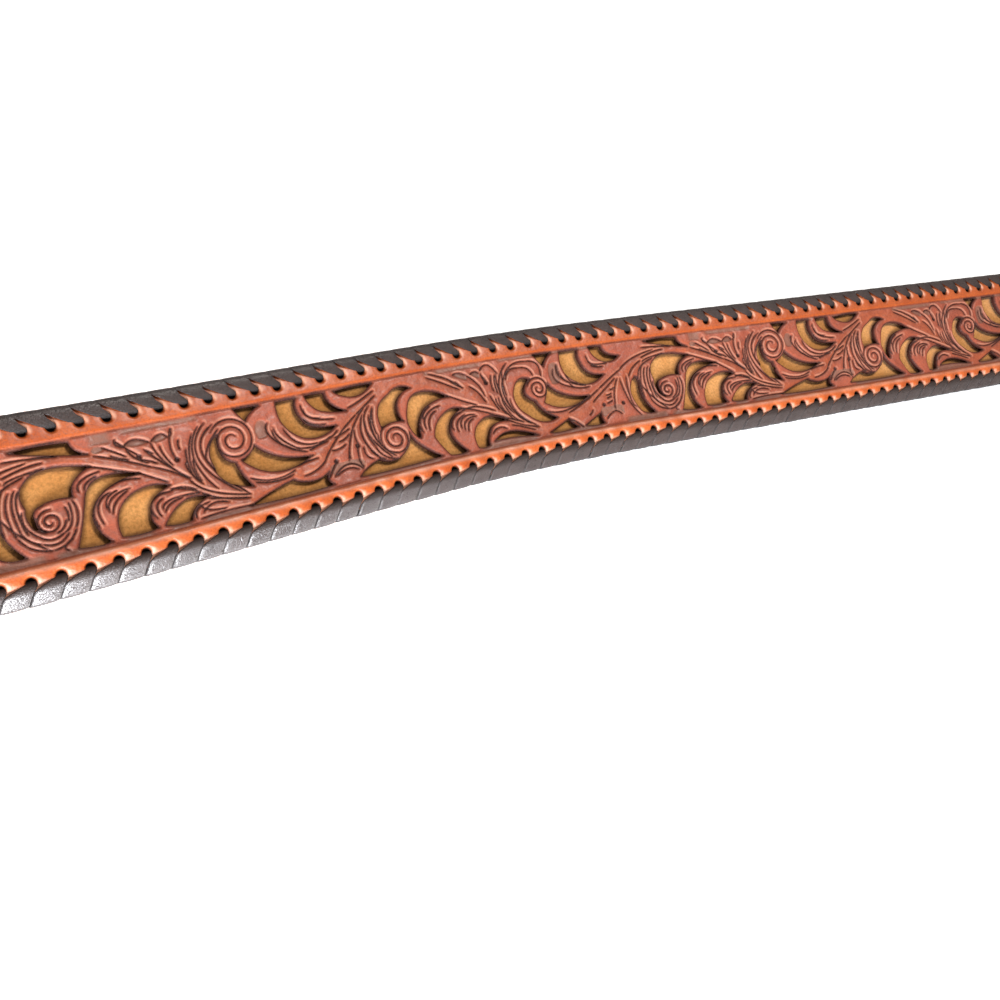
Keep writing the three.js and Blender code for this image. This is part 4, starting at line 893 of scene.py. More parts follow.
def tooled_finish(columns, rows):
    cut, bevel, ridge, matted, warm = carve(columns, rows)

    def finish(x, y, rim):
        panel = rising(PANEL_HALF + 0.2 - np.abs(y), 0, 0.3)
        panel *= rising(x, PANEL_START - 0.3, PANEL_START) * rising(-x, -PANEL_END - 0.3, -PANEL_END)
        border = 1 - panel
        shoulder = np.exp(-((np.maximum(rim, 0) / SHOULDER_REACH) ** 2))
        wander = sum(high * drift(x, y, size, seed) for high, size, seed in HAND_WAVES)
        hatch = np.sin(2 * np.pi * (x + MAT_LEAN * y) / MAT_PITCH)
        clear = 1 - np.minimum(cut, 1)
        grooves = panel * (CUT_DEPTH * cut + BEVEL_DEPTH * bevel - RIDGE_HEIGHT * ridge * clear)
        lowered = panel * matted * (MAT_DEPTH - MAT_BITE * hatch)
        frame_line = np.exp(-(((np.abs(y) - PANEL_HALF - FRAME_LINE_OFF) / FRAME_LINE_WIDTH) ** 2))
        swell_share = np.clip((np.abs(y) - PANEL_HALF) / (HOLE_ROW - PANEL_HALF + 1.2), 0, 1)
        borders = zip(BORDER["far"], BORDER["near"])
        swell, stitch_pull, fall = (np.where(y > 0, far, near) for far, near in borders)
        swell = swell * np.sin(np.pi * swell_share**SWELL_LEAN) * (1 + SWELL_DRIFT * drift(x, y, 7, 8))
        pull, hole, lip_wear_and_highlight = np.zeros_like(x), np.zeros_like(x), np.zeros_like(x)
        for side in (1, -1):
            places = stitch_places(side)
            number = np.clip(np.round((x - places[0]) / STITCH_PITCH), 0, len(places) - 1)
            past_hole = x - places[number.astype(int)]
            off = np.hypot(past_hole, y - side * HOLE_ROW)
            pull = np.maximum(pull, np.exp(-((off / PULL_REACH) ** 2)))
            # the hole is a dimple, which the finish paints near black as the hole's shade
            hole = np.maximum(hole, np.exp(-((off / LACE_HOLE_RADIUS) ** 4)))
            # one side of each hole's lip is painted pale: rubbed wear and painted highlight
            beside = rising(past_hole, -0.1, 0.7) * rising(side * y, HOLE_ROW - 1, HOLE_ROW)
            lip_wear_and_highlight = np.maximum(lip_wear_and_highlight, beside * np.exp(-(((off - 1.5) / 0.4) ** 2)))
        outer = rising(np.abs(y), HOLE_ROW - 0.3, HALF_WIDTH)
        # painted highlight along the near border's crest and on its teeth
        painted_crest_highlight = np.exp(-(((y + PANEL_HALF + 0.9) / 0.6) ** 2)) * (0.6 + 0.4 * drift(x, y, 3, 9))
        painted_teeth_highlight = rising(-y, HOLE_ROW, HOLE_ROW + 0.7)
        height = wander * (0.4 + 0.6 * panel) - grooves - lowered - SHOULDER_DEPTH * shoulder
        edge_shape = swell - stitch_pull * pull - HOLE_DEPTH * hole - fall * outer
        height += border * edge_shape - FRAME_LINE_DEPTH * frame_line
        antique = panel * (PASTE["cut"] * np.minimum(cut, 1) + PASTE["bevel"] * bevel)
        antique += PASTE["shoulder"] * shoulder + PASTE["frame line"] * frame_line
        # the pale coat: wear and painted highlight on lips and ridges, painted highlight on the near
        # crest and teeth
        wear_and_highlight = WEAR_AND_HIGHLIGHT["lip_wear_and_highlight"] * lip_wear_and_highlight + WEAR_AND_HIGHLIGHT["crest"] * painted_crest_highlight + WEAR_AND_HIGHLIGHT["teeth"] * painted_teeth_highlight
        wear_and_highlight += WEAR_AND_HIGHLIGHT["ridge"] * panel * ridge * clear
        layers = {
            "antique": np.clip(antique, 0, 1),
            "matted": panel * matted,
            "warm": np.clip(border + panel * warm, 0, 1),
            "hole": hole,
            "wear_and_highlight": np.clip(wear_and_highlight, 0, 1),
            "border": border,
        }
        return height, layers

    return finish


# %% [markdown]
# The strap is made in five lengths so that no piece grows too heavy. The three that the photograph
# shows get a grid of under a quarter millimetre, about a pixel at their nearest, and the two ends
# get a coarser one.

# %% Tooled strap
HOLE_COUNT = 5
HOLE_PITCH = 25.4
HOLE_RADIUS = 2.5
HOLE_TIP_MARGIN = 95.0
SHOWN_START, SHOWN_END = 372, 710  # the stretch that the photograph shows, along the strap
FINE_PITCH, COARSE_PITCH = 0.22, 0.6


def circle(x, y, radius, sides=40):
    turn = np.linspace(0, 2 * np.pi, sides, endpoint=False)
    return np.stack([x + radius * np.cos(turn), y + radius * np.sin(turn)], -1)


buckle_holes = [
    circle(STRAP_LENGTH - HOLE_TIP_MARGIN - i * HOLE_PITCH, 0, HOLE_RADIUS) for i in range(HOLE_COUNT)
]
SECTIONS = {
    # name: start and end along the strap, and the grid's pitch
    "tooled_strap_buckle_end": (LACED_MARGIN, SHOWN_START, COARSE_PITCH),
    "tooled_strap_left": (SHOWN_START, 485, FINE_PITCH),
    "tooled_strap_middle": (485, 598, FINE_PITCH),
    "tooled_strap_right": (598, SHOWN_END, FINE_PITCH),
    "tooled_strap_tip_end": (SHOWN_END, STRAP_LENGTH, COARSE_PITCH),
}
tooled_pieces = []
for name, (start, end, pitch) in SECTIONS.items():
    columns = np.linspace(start, end, round((end - start) / pitch) + 1)
    rows = np.linspace(-1, 1, round(STRAP_WIDTH / pitch) + 1)
    openings = [
        outline for outline in gap_outlines + buckle_holes
        if outline[:, 0].max() > start - RIM_REACH and outline[:, 0].min() < end + RIM_REACH
    ]
    ends = (start == LACED_MARGIN, end == STRAP_LENGTH)
    finish = tooled_finish(columns, rows)
    piece = sheet(name, columns, rows, openings, finish, TOP_LEATHER, lay, ends)
    tooled_pieces.append(piece)
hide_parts("top_leather")

# %% [markdown]
# ## The underlay and its fold
#
# The lower strap is soft suede-side leather. It carries the buckle: its end goes over the bar and
# comes back underneath. The fold is drawn once as a line seen from the side, and the sheet is then
# wrapped along it, as the leather is.

# %% Fold line
FOLD_RAMP = 34.0  # length over which the two runs open round the bar
FLAP_LENGTH = 72.0
RAMP_STEPS, WRAP_STEPS = 16, 24


def fold_line():
    ease = lambda share: share * share * (3 - 2 * share)
    down = np.linspace(0, 1, RAMP_STEPS + 1)
    upper = BASE_MIDDLE + (BAR_HEIGHT + WRAP_RADIUS - BASE_MIDDLE) * ease(down)
    ramp = np.stack([FOLD_RAMP * (1 - down), upper], -1)
    turn = np.pi / 2 + np.pi * np.arange(1, WRAP_STEPS) / WRAP_STEPS
    wrap = np.stack([WRAP_RADIUS * np.cos(turn), BAR_HEIGHT + WRAP_RADIUS * np.sin(turn)], -1)
    under = BAR_HEIGHT - WRAP_RADIUS + (FLAP_MIDDLE - BAR_HEIGHT + WRAP_RADIUS) * ease(down)
    back = np.stack([FOLD_RAMP * down, under], -1)
    return np.vstack([ramp, wrap, back, [[FLAP_LENGTH, FLAP_MIDDLE]]])


FOLD = fold_line()
fold_steps = np.hypot(*np.diff(FOLD, axis=0).T)
FOLD_DISTANCE = FOLD_RAMP - np.concatenate([[0], np.cumsum(fold_steps)])
fold_slope = np.gradient(FOLD, axis=0)
fold_slope[0], fold_slope[-1] = [-1, 0], [1, 0]
fold_normal = np.stack([fold_slope[:, 1], -fold_slope[:, 0]], -1) / np.hypot(*fold_slope.T)[:, None]
FLAP_END = FOLD_DISTANCE[-1]


def lay_base(distance, across, height):
    laid = lay(distance, across, height)
    folded = distance < FOLD_RAMP
    reach = [np.interp(distance[folded], FOLD_DISTANCE[::-1], table[::-1])
             for table in (*FOLD.T, *fold_normal.T)]
    off = height[folded] - BASE_MIDDLE
    x, z = reach[0] + off * reach[2], reach[1] + off * reach[3]
    start = PATH_PLACE[0] + ORIGIN
    laid[folded] = (
        start + x[:, None] * PATH_ALONG[0] + across[folded][:, None] * PATH_ACROSS[0]
        + z[:, None] * PATH_UP[0]
    )
    return laid


print("the underlay is", round(STRAP_LENGTH - FLAP_END), "mm long when it is laid flat")

# %% Underlay openings and sheet
SLOT_WIDTH = 6.0
SLOT_REACH = 10.0
FIRST_POST = 43.0  # buckle bar to the nearer post
POST_SPACING = 17.0
POST_RADIUS = 2.2
SEEP_AND_SHADE_REACH = 0.65
SUEDE_WAVE, SUEDE_WAVE_SIZE = 0.04, 3
SUEDE_ROUNDING, SUEDE_ROUND_REACH = 0.2, 0.4
wrap_middle = (FOLD_DISTANCE[RAMP_STEPS] + FOLD_DISTANCE[RAMP_STEPS + WRAP_STEPS]) / 2
slot_half = FOLD_DISTANCE[RAMP_STEPS] - wrap_middle + SLOT_REACH
slot_turn = np.linspace(-np.pi / 2, np.pi / 2, 12)
slot_end = np.stack([np.cos(slot_turn), np.sin(slot_turn)], -1) * SLOT_WIDTH / 2
slot_straight = slot_half - SLOT_WIDTH / 2
prong_slot = np.vstack([slot_end + [slot_straight, 0], -slot_end - [slot_straight, 0]]) + [wrap_middle, 0]
POST_PLACES = [FIRST_POST, FIRST_POST + POST_SPACING]
on_flap = lambda x: FOLD_DISTANCE[-2] - (x - FOLD_RAMP)
post_holes = [circle(at, 0, POST_RADIUS + CLEARANCE) for x in POST_PLACES for at in (x, on_flap(x))]
underlay_openings = [prong_slot, *post_holes, *buckle_holes]


def suede_finish(x, y, rim):
    """The suede's face: level, a little uneven, and darkened along the openings by seeped dye and painted
    shade.
    """
    # darkening along each opening: partly seeped dye, partly painted shade where the walls shade the
    # suede
    seep_and_shade = np.zeros_like(x)
    order = np.argsort(x)
    for outline in gap_outlines:
        low, high = outline[:, 0].min() - 1, outline[:, 0].max() + 1
        chosen = order[np.searchsorted(x[order], low):np.searchsorted(x[order], high)]
        if len(chosen):
            off = nearest(np.stack([x[chosen], y[chosen]], -1), np.vstack([outline, outline[:1]]))[0]
            seep_and_shade[chosen] = np.maximum(seep_and_shade[chosen], np.exp(-((off / SEEP_AND_SHADE_REACH) ** 2)))
    rounded = np.exp(-((np.maximum(rim, 0) / SUEDE_ROUND_REACH) ** 2))
    height = BASE_TOP + SUEDE_WAVE * drift(x, y, SUEDE_WAVE_SIZE, 21) - SUEDE_ROUNDING * rounded
    return height, {"seep_and_shade": seep_and_shade}


def back_finish(x, y, rim):
    return np.full_like(x, BASE_BOTTOM), {"seep_and_shade": np.zeros_like(x)}


def graded(*stretches):
    """Column places: each stretch is its end and the pitch used up to it."""
    places, start = [FLAP_END], FLAP_END
    for end, pitch in stretches:
        places.extend(np.linspace(start, end, max(2, round((end - start) / pitch) + 1))[1:])
        start = end
    return np.array(places)


FOLD_STRETCH = (FOLD_RAMP + 40, 0.9)  # where the fine columns at the fold end, and their pitch
underlay = sheet(
    "underlay", graded(FOLD_STRETCH, (SHOWN_START, 1.2), (SHOWN_END, 0.7), (STRAP_LENGTH, 1.2)),
    np.linspace(-1, 1, 49), underlay_openings, suede_finish, -BASE_BOTTOM, lay_base,
)
underlay_back = sheet(
    "underlay_back", graded(FOLD_STRETCH, (STRAP_LENGTH, 2.5)),
    np.linspace(-1, 1, 21), underlay_openings, back_finish, -BASE_BOTTOM, lay_base,
)
underlay_back.data.flip_normals()
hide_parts("base_leather")

# %% [markdown]
# ## The lacing
#
# One flat lace, cut from thin kip leather, goes up through a hole, over the edge, and through the
# next hole from below. Each turn is narrow where the hole pinches it, and spreads over the edge
# until it touches its neighbour. A turn is modelled once as a table of places along the lace, and
# the loop then sets one at every hole. Copies by an array would all be alike, so each turn also
# gets its own small lean and width. Three layers of values go with it for the finish: where shade
# is painted on it in the hole and below the edge, where its edges turn down and shade is painted
# between the turns, and where it is stretched and rubbed.

# %% One turn of the lace
LACE_OUT = LACE_HOLE_INSET + CLEARANCE + LACE_THICKNESS
LACE_DOWN = LACE_BOTTOM - LACE_THICKNESS
FAR_TURN = np.array([
    # outwards from the hole row, height, then its two edges along the strap, from the hole
    (-0.30, -1.7, -0.9, 0.9),
    (-0.20, -0.7, -1.0, 1.0),
    (0.05, -0.1, -1.3, 1.0),
    (0.55, 0.15, -2.2, 0.9),
    (1.20, 0.3, -3.4, 0.35),
    (1.80, 0.42, -4.4, -0.3),
    (2.40, 0.5, -5.4, -0.7),
    (3.00, 0.55, -6.3, -0.9),
    (3.70, 0.5, -6.9, -1.2),
    (4.05, 0.2, -7.1, -1.5),
    (LACE_OUT + 0.1, -0.6, -7.4, -1.8),
    (LACE_OUT + 0.1, -3.0, -7.8, -2.2),
    (LACE_OUT - 0.1, LACE_DOWN + 0.9, -8.1, -2.6),
    (LACE_OUT - 0.7, LACE_DOWN + 0.1, -8.3, -3.0),
    (0.20, LACE_DOWN + 0.05, -7.6, -3.6),
])
NEAR_TURN = np.array([
    (-0.30, -1.8, -0.8, 1.0),
    (-0.20, -0.8, -1.0, 1.1),
    (0.05, -0.25, -1.4, 1.15),
    (0.50, 0.15, -2.3, 1.1),
    (1.00, 0.4, -3.3, 1.0),
    (1.55, 0.4, -4.5, 0.8),
    (2.20, 0.0, -5.3, 0.3),
    (3.00, -0.6, -5.7, -0.1),
    (3.90, -1.35, -6.1, -0.5),
    (LACE_OUT + 0.4, -1.95, -6.4, -0.8),
    (LACE_OUT + 0.7, -2.6, -6.7, -1.1),
    (LACE_OUT + 0.4, LACE_DOWN + 0.9, -7.1, -1.6),
    (LACE_OUT - 0.6, LACE_DOWN + 0.1, -7.6, -2.2),
    (0.20, LACE_DOWN + 0.05, -7.6, -3.6),
])
TURN_STEPS, TURN_WIDE = 20, 12
LACE_CROWN, EDGE_SHARPNESS = 0.05, 9
FAR_POLISH, NEAR_POLISH = 0.15, 1.0  # the front edge is the one that hands and loops rub
RUB_FADE, FLAT_RUB = (430, 510), 0.15  # past the bend, along the belt, it is rubbed less
FAR_TUCK, NEAR_TUCK = 0.04, 0.3  # how far the lace's edges bend down between turns
LEFT_SPREAD, RIGHT_SPREAD, LIFT_SPREAD = 0.07, 0.05, 0.1  # how much the turns differ
MOUTH = (1.3, 2.8)  # lengths along the lace between which it leaves the shade of its hole
UNDER_EDGE, UNDER_SHADE = (-2.5, -1.8), 0.9  # heights between which it goes into the shade below
RUB_START, RUB_LOW = (3.2, 4.4), (-2.6, -1.8)  # where the rubbing starts and ends on a turn
# the lace's outer edges are painted dark as shade between the turns
EDGE_LINE = 0.92  # from this share of the half width outwards the lace is dark


def lace_row(name, side, turn, tuck, polish, seed):
    """All turns of one edge's lacing, as one piece; side is 1 at the far edge and -1 at the near one."""
    travel = np.concatenate([[0], np.cumsum(np.hypot(*np.diff(turn[:, :2], axis=0).T))])
    even = np.linspace(0, travel[-1], TURN_STEPS + 1)
    out, height, left, right = (np.interp(even, travel, turn[:, k]) for k in range(4))
    slope = np.gradient(np.stack([out, height], -1), axis=0)
    normal = np.stack([-slope[:, 1], slope[:, 0]], -1) / np.hypot(*slope.T)[:, None]
    wide = np.sin(np.linspace(-np.pi / 2, np.pi / 2, TURN_WIDE + 1))
    lift = LACE_CROWN * (1 - wide**2) - tuck * np.abs(wide) ** EDGE_SHARPNESS
    # painted shade where the lace goes into its hole and below the strap's edge
    below = UNDER_SHADE * (1 - rising(height, *UNDER_EDGE)) * (even > MOUTH[1])
    painted_mouth_shade = np.maximum(1 - rising(even, *MOUTH), below)
    stretched = polish * rising(even, *RUB_START) * rising(height, *RUB_LOW)
    hand = np.random.default_rng(seed)
    points, inner, edge_shade, stretch = [], [], [], []
    for place in stitch_places(side):
        own_left = left + hand.normal(0, LEFT_SPREAD)
        own_right = right + hand.normal(0, RIGHT_SPREAD)
        own_lift = lift[None, :] + hand.normal(0, LIFT_SPREAD * tuck)
        middle, half = (own_left + own_right) / 2, (own_right - own_left) / 2
        x = place + middle[:, None] + wide[None, :] * half[:, None]
        y = side * (HOLE_ROW + out[:, None] + normal[:, 0:1] * own_lift)
        z = height[:, None] + normal[:, 1:2] * own_lift
        points.append(lay(x.ravel(), y.ravel(), z.ravel()))
        inner.append(np.repeat(painted_mouth_shade, TURN_WIDE + 1))
        rubbed = 1 - (1 - FLAT_RUB) * rising(place, *RUB_FADE)
        stretch.append(np.repeat(stretched * rubbed, TURN_WIDE + 1))
        # painted shade along the turned-down edges between turns, strongest on the near row
        edge_shade.append(np.tile(rising(np.abs(wide), EDGE_LINE, 1) * tuck / NEAR_TUCK, TURN_STEPS + 1))
    i, j = np.meshgrid(np.arange(TURN_STEPS), np.arange(TURN_WIDE), indexing="ij")
    first = (i * (TURN_WIDE + 1) + j).ravel()
    quads = np.stack([first, first + 1, first + TURN_WIDE + 2, first + TURN_WIDE + 1], -1)
    quads = quads if side > 0 else quads[:, ::-1]
    count = (TURN_STEPS + 1) * (TURN_WIDE + 1)
    faces = np.concatenate([quads + k * count for k in range(len(points))])
    layers = {"inner": inner, "edge_shade": edge_shade, "stretch": stretch}
    layers = {layer: np.concatenate(values) for layer, values in layers.items()}
    return mesh_piece(name, np.concatenate(points), faces, layers)


lace_far = lace_row("lace_far", 1, FAR_TURN, FAR_TUCK, FAR_POLISH, 5)
lace_near = lace_row("lace_near", -1, NEAR_TURN, NEAR_TUCK, NEAR_POLISH, 6)
for piece, node_name in ((lace_far, "lacing_far"), (lace_near, "lacing_near")):
    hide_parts(node_name)

# %% [markdown]
# ## The buckle and the posts
#
# The photograph cuts the belt off before its buckle, so a plain cast frame buckle stands in. Its
# frame is one round rod swept round a rounded rectangle. The prong is a bar whose section
# changes along its length, and the posts are turned, so they are drawn as a profile and spun. A
# curve with a bevel would sweep the rod as well, but rings of points serve all of these pieces.

# %% Swept and turned metal
BUCKLE_REACH = 26.0
BUCKLE_SIDE_GAP = 1.4
BUCKLE_CORNER = 8.0
BAR_CORNER = 2.6


def loft(name, rings, closed=False):
    """Skin over rings of points; without closed, the first and last ring are capped by fans."""
    rings = np.array(rings)
    count, sides = rings.shape[:2]
    points = rings.reshape(-1, 3)
    spans = np.arange(count if closed else count - 1)
    i, j = np.meshgrid(spans, np.arange(sides), indexing="ij")
    index = lambda a, b: (a % count) * sides + b % sides
    corners = [index(i, j), index(i, j + 1), index(i + 1, j + 1), index(i + 1, j)]
    faces = np.stack(corners, -1).reshape(-1, 4)
    if not closed:
        ends = np.stack([rings[0].mean(0), rings[-1].mean(0)])
        centre = len(points)
        points = np.vstack([points, ends])
        around = np.arange(0, sides, 2)
        beyond = (around + 2) % sides
        last = (count - 1) * sides
        first_cap = [np.full_like(around, centre), beyond, around + 1, around]
        last_cap = [np.full_like(around, centre + 1), last + around, last + around + 1, last + beyond]
        faces = np.concatenate([faces, np.stack(first_cap, -1), np.stack(last_cap, -1)])
    return mesh_piece(name, points, faces)


def at_bar(points):
    """Places measured from the buckle bar, along, across and up, in the laid belt's frame."""
    points = np.asarray(points, float)
    start = PATH_PLACE[0] + ORIGIN + BAR_HEIGHT * PATH_UP[0]
    return start + points @ np.stack([PATH_ALONG[0], PATH_ACROSS[0], PATH_UP[0]])


ROD_SIDES, CORNER_STEPS = 24, 10
rod_half = HALF_WIDTH + BUCKLE_SIDE_GAP + BAR_RADIUS
rod_corners = [
    # along, across, corner radius, angle where the corner starts
    (0, rod_half, BAR_CORNER, 0),
    (-BUCKLE_REACH, rod_half, BUCKLE_CORNER, 90),
    (-BUCKLE_REACH, -rod_half, BUCKLE_CORNER, 180),
    (0, -rod_half, BAR_CORNER, 270),
]
spin = np.linspace(0, 2 * np.pi, ROD_SIDES, endpoint=False)
rod_rings = []
for x, y, radius, start_angle in rod_corners:
    centre = np.array([x + (radius if x < 0 else -radius), y - np.sign(y) * radius])
    for turn in np.radians(start_angle + np.linspace(0, 90, CORNER_STEPS)):
        out = np.array([np.cos(turn), np.sin(turn)])
        reach = (radius + BAR_RADIUS * np.cos(spin))[:, None] * out + centre
        rod_rings.append(np.column_stack([reach, BAR_RADIUS * np.sin(spin)]))
buckle_frame = loft("buckle_frame", at_bar(rod_rings), closed=True)

# %% Prong
PRONG_WIDTH = 4.0
PRONG_THICKNESS = 2.6
PRONG_RING = 3.4
PRONG_SHAPE = {"back": 0.55, "belly": 0.6, "point": 0.45}
PRONG_NARROWING = 0.25
PRONG_STEPS, PRONG_SIDES, RING_STEPS, SQUARENESS = 30, 24, 40, 0.6
rest = BAR_RADIUS - CLEARANCE / 2
crown = rest + PRONG_THICKNESS
reach = np.linspace(0, BUCKLE_REACH + BAR_RADIUS, PRONG_STEPS)
upper_line = np.interp(
    reach,
    [0, BUCKLE_REACH * PRONG_SHAPE["back"], BUCKLE_REACH, BUCKLE_REACH + BAR_RADIUS],
    [PRONG_THICKNESS / 2, crown, crown, rest + PRONG_THICKNESS * PRONG_SHAPE["point"]],
)
lower_line = np.interp(reach, [0, BUCKLE_REACH * PRONG_SHAPE["belly"], BUCKLE_REACH + BAR_RADIUS],
                       [-PRONG_THICKNESS / 2, rest, rest])
section = np.linspace(0, 2 * np.pi, PRONG_SIDES, endpoint=False)
rounded = lambda value: np.sign(value) * np.abs(value) ** SQUARENESS
prong_rings = []
for x, upper, lower in zip(reach, upper_line, lower_line):
    wide = PRONG_WIDTH / 2 * (1 - PRONG_NARROWING * (x / reach[-1]) ** 3)
    y = wide * rounded(np.cos(section))
    z = (upper + lower) / 2 + (upper - lower) / 2 * rounded(np.sin(section))
    prong_rings.append(np.column_stack([np.full_like(y, -x), y, z]))
prong = loft("prong", at_bar(prong_rings))

ring_turn = np.linspace(0, 2 * np.pi, RING_STEPS, endpoint=False)
ring_middle = (PRONG_RING + BAR_RADIUS + CLEARANCE / 2) / 2
ring_rings = []
for turn in ring_turn:
    out = ring_middle + (PRONG_RING - ring_middle) * rounded(np.sin(section))
    y = PRONG_WIDTH / 2 * rounded(np.cos(section))
    ring_rings.append(np.column_stack([out * np.cos(turn), y, out * np.sin(turn)]))
prong_ring = loft("prong_ring", at_bar(ring_rings), closed=True)
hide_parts("buckle")

# %% Posts
POST_HEAD_RADIUS = 4.5
HEAD_RIM, HEAD_STEPS, HEAD_CENTRE = 0.4, 8, 0.05  # the last is an angle left open at the middle
POST_SIDES = 48


def turned_post(name, x):
    """A post spun from its profile: a domed head above, the shank, and a flat head below."""
    top, bottom = BASE_TOP + CLEARANCE, FLAP_BOTTOM - CLEARANCE
    rise = POST_HEAD - HEAD_RIM
    dome = [(POST_HEAD_RADIUS * math.sin(a), top + HEAD_RIM + rise * math.cos(a))
            for a in np.linspace(HEAD_CENTRE, math.pi / 2, HEAD_STEPS)]
    foot = [(POST_HEAD_RADIUS * math.cos(a), bottom - rise * math.sin(a) - HEAD_RIM / 2)
            for a in np.linspace(0, math.pi / 2 - HEAD_CENTRE, HEAD_STEPS)]
    profile = dome + [(POST_HEAD_RADIUS, top), (POST_RADIUS, top), (POST_RADIUS, bottom),
                      (POST_HEAD_RADIUS, bottom)] + foot
    start = PATH_PLACE[0] + ORIGIN
    turn = np.linspace(0, 2 * np.pi, POST_SIDES, endpoint=False)
    rings = []
    for radius, height in profile:
        level = np.full_like(turn, height)
        flat = np.column_stack([x + radius * np.cos(turn), radius * np.sin(turn), level])
        rings.append(start + flat @ np.stack([PATH_ALONG[0], PATH_ACROSS[0], PATH_UP[0]]))
    return loft(name, rings[::-1])


post_pieces = [turned_post(f"post_{i + 1}", x) for i, x in enumerate(POST_PLACES)]
for i, piece in enumerate(post_pieces):
    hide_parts(f"fold_post_{i + 1}")

# %% [markdown]
# ## Helpers for the finishes
#
# Every finish is built from the same few parts: noise for what is uneven, the layers that the
# carving left on the mesh, and one shader. One helper adds a node with its settings and links, and
# another turns the hex colours that a picture shows into the linear values that light needs. Dyes
# and pastes are laid one over another, so a third helper lays them from a table.

# %% Nodes, colours and dyes
SOFT_NOISE = {"Detail": 3.0, "Roughness": 0.55}


def linear(hex_colour):
    parts = [int(hex_colour[k:k + 2], 16) / 255 for k in (1, 3, 5)]
    return [c / 12.92 if c <= 0.04045 else ((c + 0.055) / 1.055) ** 2.4 for c in parts] + [1.0]


def add(tree, kind, inputs=(), give=0, **settings):
    """Adds a node and gives one output. inputs are values or sockets to link, by name or in order."""
    made = tree.nodes.new("ShaderNode" + kind)
    for key, value in settings.items():
        setattr(made, key, value)
    by_socket = inputs if isinstance(inputs, dict) else dict(enumerate(inputs))
    for key, value in by_socket.items():
        if isinstance(value, bpy.types.NodeSocket):
            tree.links.new(value, made.inputs[key])
        else:
            made.inputs[key].default_value = value
    return made.outputs[give] if len(made.outputs) else None


def new_material(name):
    material = bpy.data.materials.new(name)
    material.use_nodes = True
    material.node_tree.nodes.clear()
    return material, material.node_tree


def spaced(millimetres):
    """The scale of a pattern whose lumps or cells are this wide."""
    return 1 / (millimetres * MM)


def dye(tree, ground, coats):
    """Lays coats over a ground colour. A row of coats says what value decides where the coat lies,
    between which two of its values it grows, its share at each of the two, and its colour."""
    colour = linear(ground) if isinstance(ground, str) else ground
    for where, low, high, least, most, coat in coats:
        share = add(tree, "MapRange", [where, low, high, least, most])
        coat = linear(coat) if isinstance(coat, str) else coat
        colour = add(tree, "Mix", {0: share, 6: colour, 7: coat}, give=2, data_type="RGBA")
    return colour


def finish_material(tree, sockets):
    shader = add(tree, "BsdfPrincipled", sockets)
    add(tree, "OutputMaterial", {"Surface": shader})


print("mid grey in linear light:", round(linear("#808080")[0], 3))

# %% [markdown]
# ## Tooled leather
#
# Vegetable-tanned cowhide, carved, dyed red-brown, rubbed with a dark antique paste and finished
# with a clear lacquer. The paste stays in the cuts and the matted ground and is wiped off the
# high places, so depth can be read as colour. The lacquer gives small pale highlights on every
# rounded edge. The stems and the border took less red dye and stay orange. A pale coat lies on the
# hole lips and the ridges beside the cuts, partly rubbed wear and partly painted highlight, and on
# the near border's crest and teeth, where it is painted highlight. The cut walls are dyed dark and
# painted darker as shade, and the lacing holes are painted near black as their shade.

# %% Tooled leather
def tooled_leather():
    material, tree = new_material("antiqued_veg_tanned_leather")
    place = add(tree, "TexCoord", give="Object")
    warm, border, wear_and_highlight, matted, antique, wall, hole = (
        add(tree, "Attribute", give="Fac", attribute_name=name)
        for name in ("warm", "border", "wear_and_highlight", "matted", "antique", "wall", "hole")
    )
    blotch = add(tree, "TexNoise", {"Vector": place, "Scale": spaced(9), **SOFT_NOISE}, "Fac")
    streak = add(tree, "TexNoise", {"Vector": place, "Scale": spaced(2.2), **SOFT_NOISE}, "Fac")
    # hair pores are finer than a pixel, so they are drawn this coarse to show
    fine = {"Vector": place, "Scale": spaced(0.45), "Detail": 4, "Roughness": 0.7}
    pore = add(tree, "TexNoise", fine, "Fac")
    paste_share = add(tree, "MapRange", [pore, 0.3, 0.7, 0.8, 1.2])
    paste = add(tree, "Math", [antique, paste_share], operation="MULTIPLY")
    leaf = dye(tree, "#9c4c35", [(blotch, 0.35, 0.65, 0, 1, "#b45c41")])
    stem = dye(tree, "#a04c2d", [(streak, 0.35, 0.65, 0, 1, "#b35a37")])
    rim = dye(tree, "#b04e1a", [(blotch, 0.35, 0.65, 0, 1, "#c25e28")])
    colour = dye(tree, leaf, [
        (warm, 0, 1, 0, 1, stem),
        (border, 0, 1, 0, 1, rim),
        (pore, 0.45, 0.7, 0, 0.5, "#6f3022"),
        # pale coat: rubbed wear and painted highlight
        (wear_and_highlight, 0, 1, 0, 0.8, "#e2a98c"),
        (matted, 0, 1, 0, 0.75, "#8a6150"),
        (paste, 0, 1, 0, 1, "#3a1a13"),
        # cut walls: dark edge dye, darkened further as painted shade inside the openings
        (wall, 0, 0.4, 0, 1, "#42190f"),
        # painted shade: the lacing holes are only dimples, painted near black
        (hole, 0.1, 0.6, 0, 1, "#0e0807"),
    ])
    cells = add(tree, "TexVoronoi", {"Vector": place, "Scale": spaced(0.7)}, "Distance")
    grain = add(tree, "Math", [cells, pore], operation="ADD")
    bump = add(tree, "Bump", {"Height": grain, "Strength": 0.5, "Distance": 0.12 * MM})
    finish_material(tree, {
        "Base Color": colour,
        "Roughness": add(tree, "MapRange", [paste, 0, 0.6, 0.44, 0.8]),
        "IOR": 1.5,
        "Normal": bump,
        "Specular IOR Level": 0.4,
        "Coat Weight": 0.08,
        "Coat Roughness": 0.2,
    })
    return material


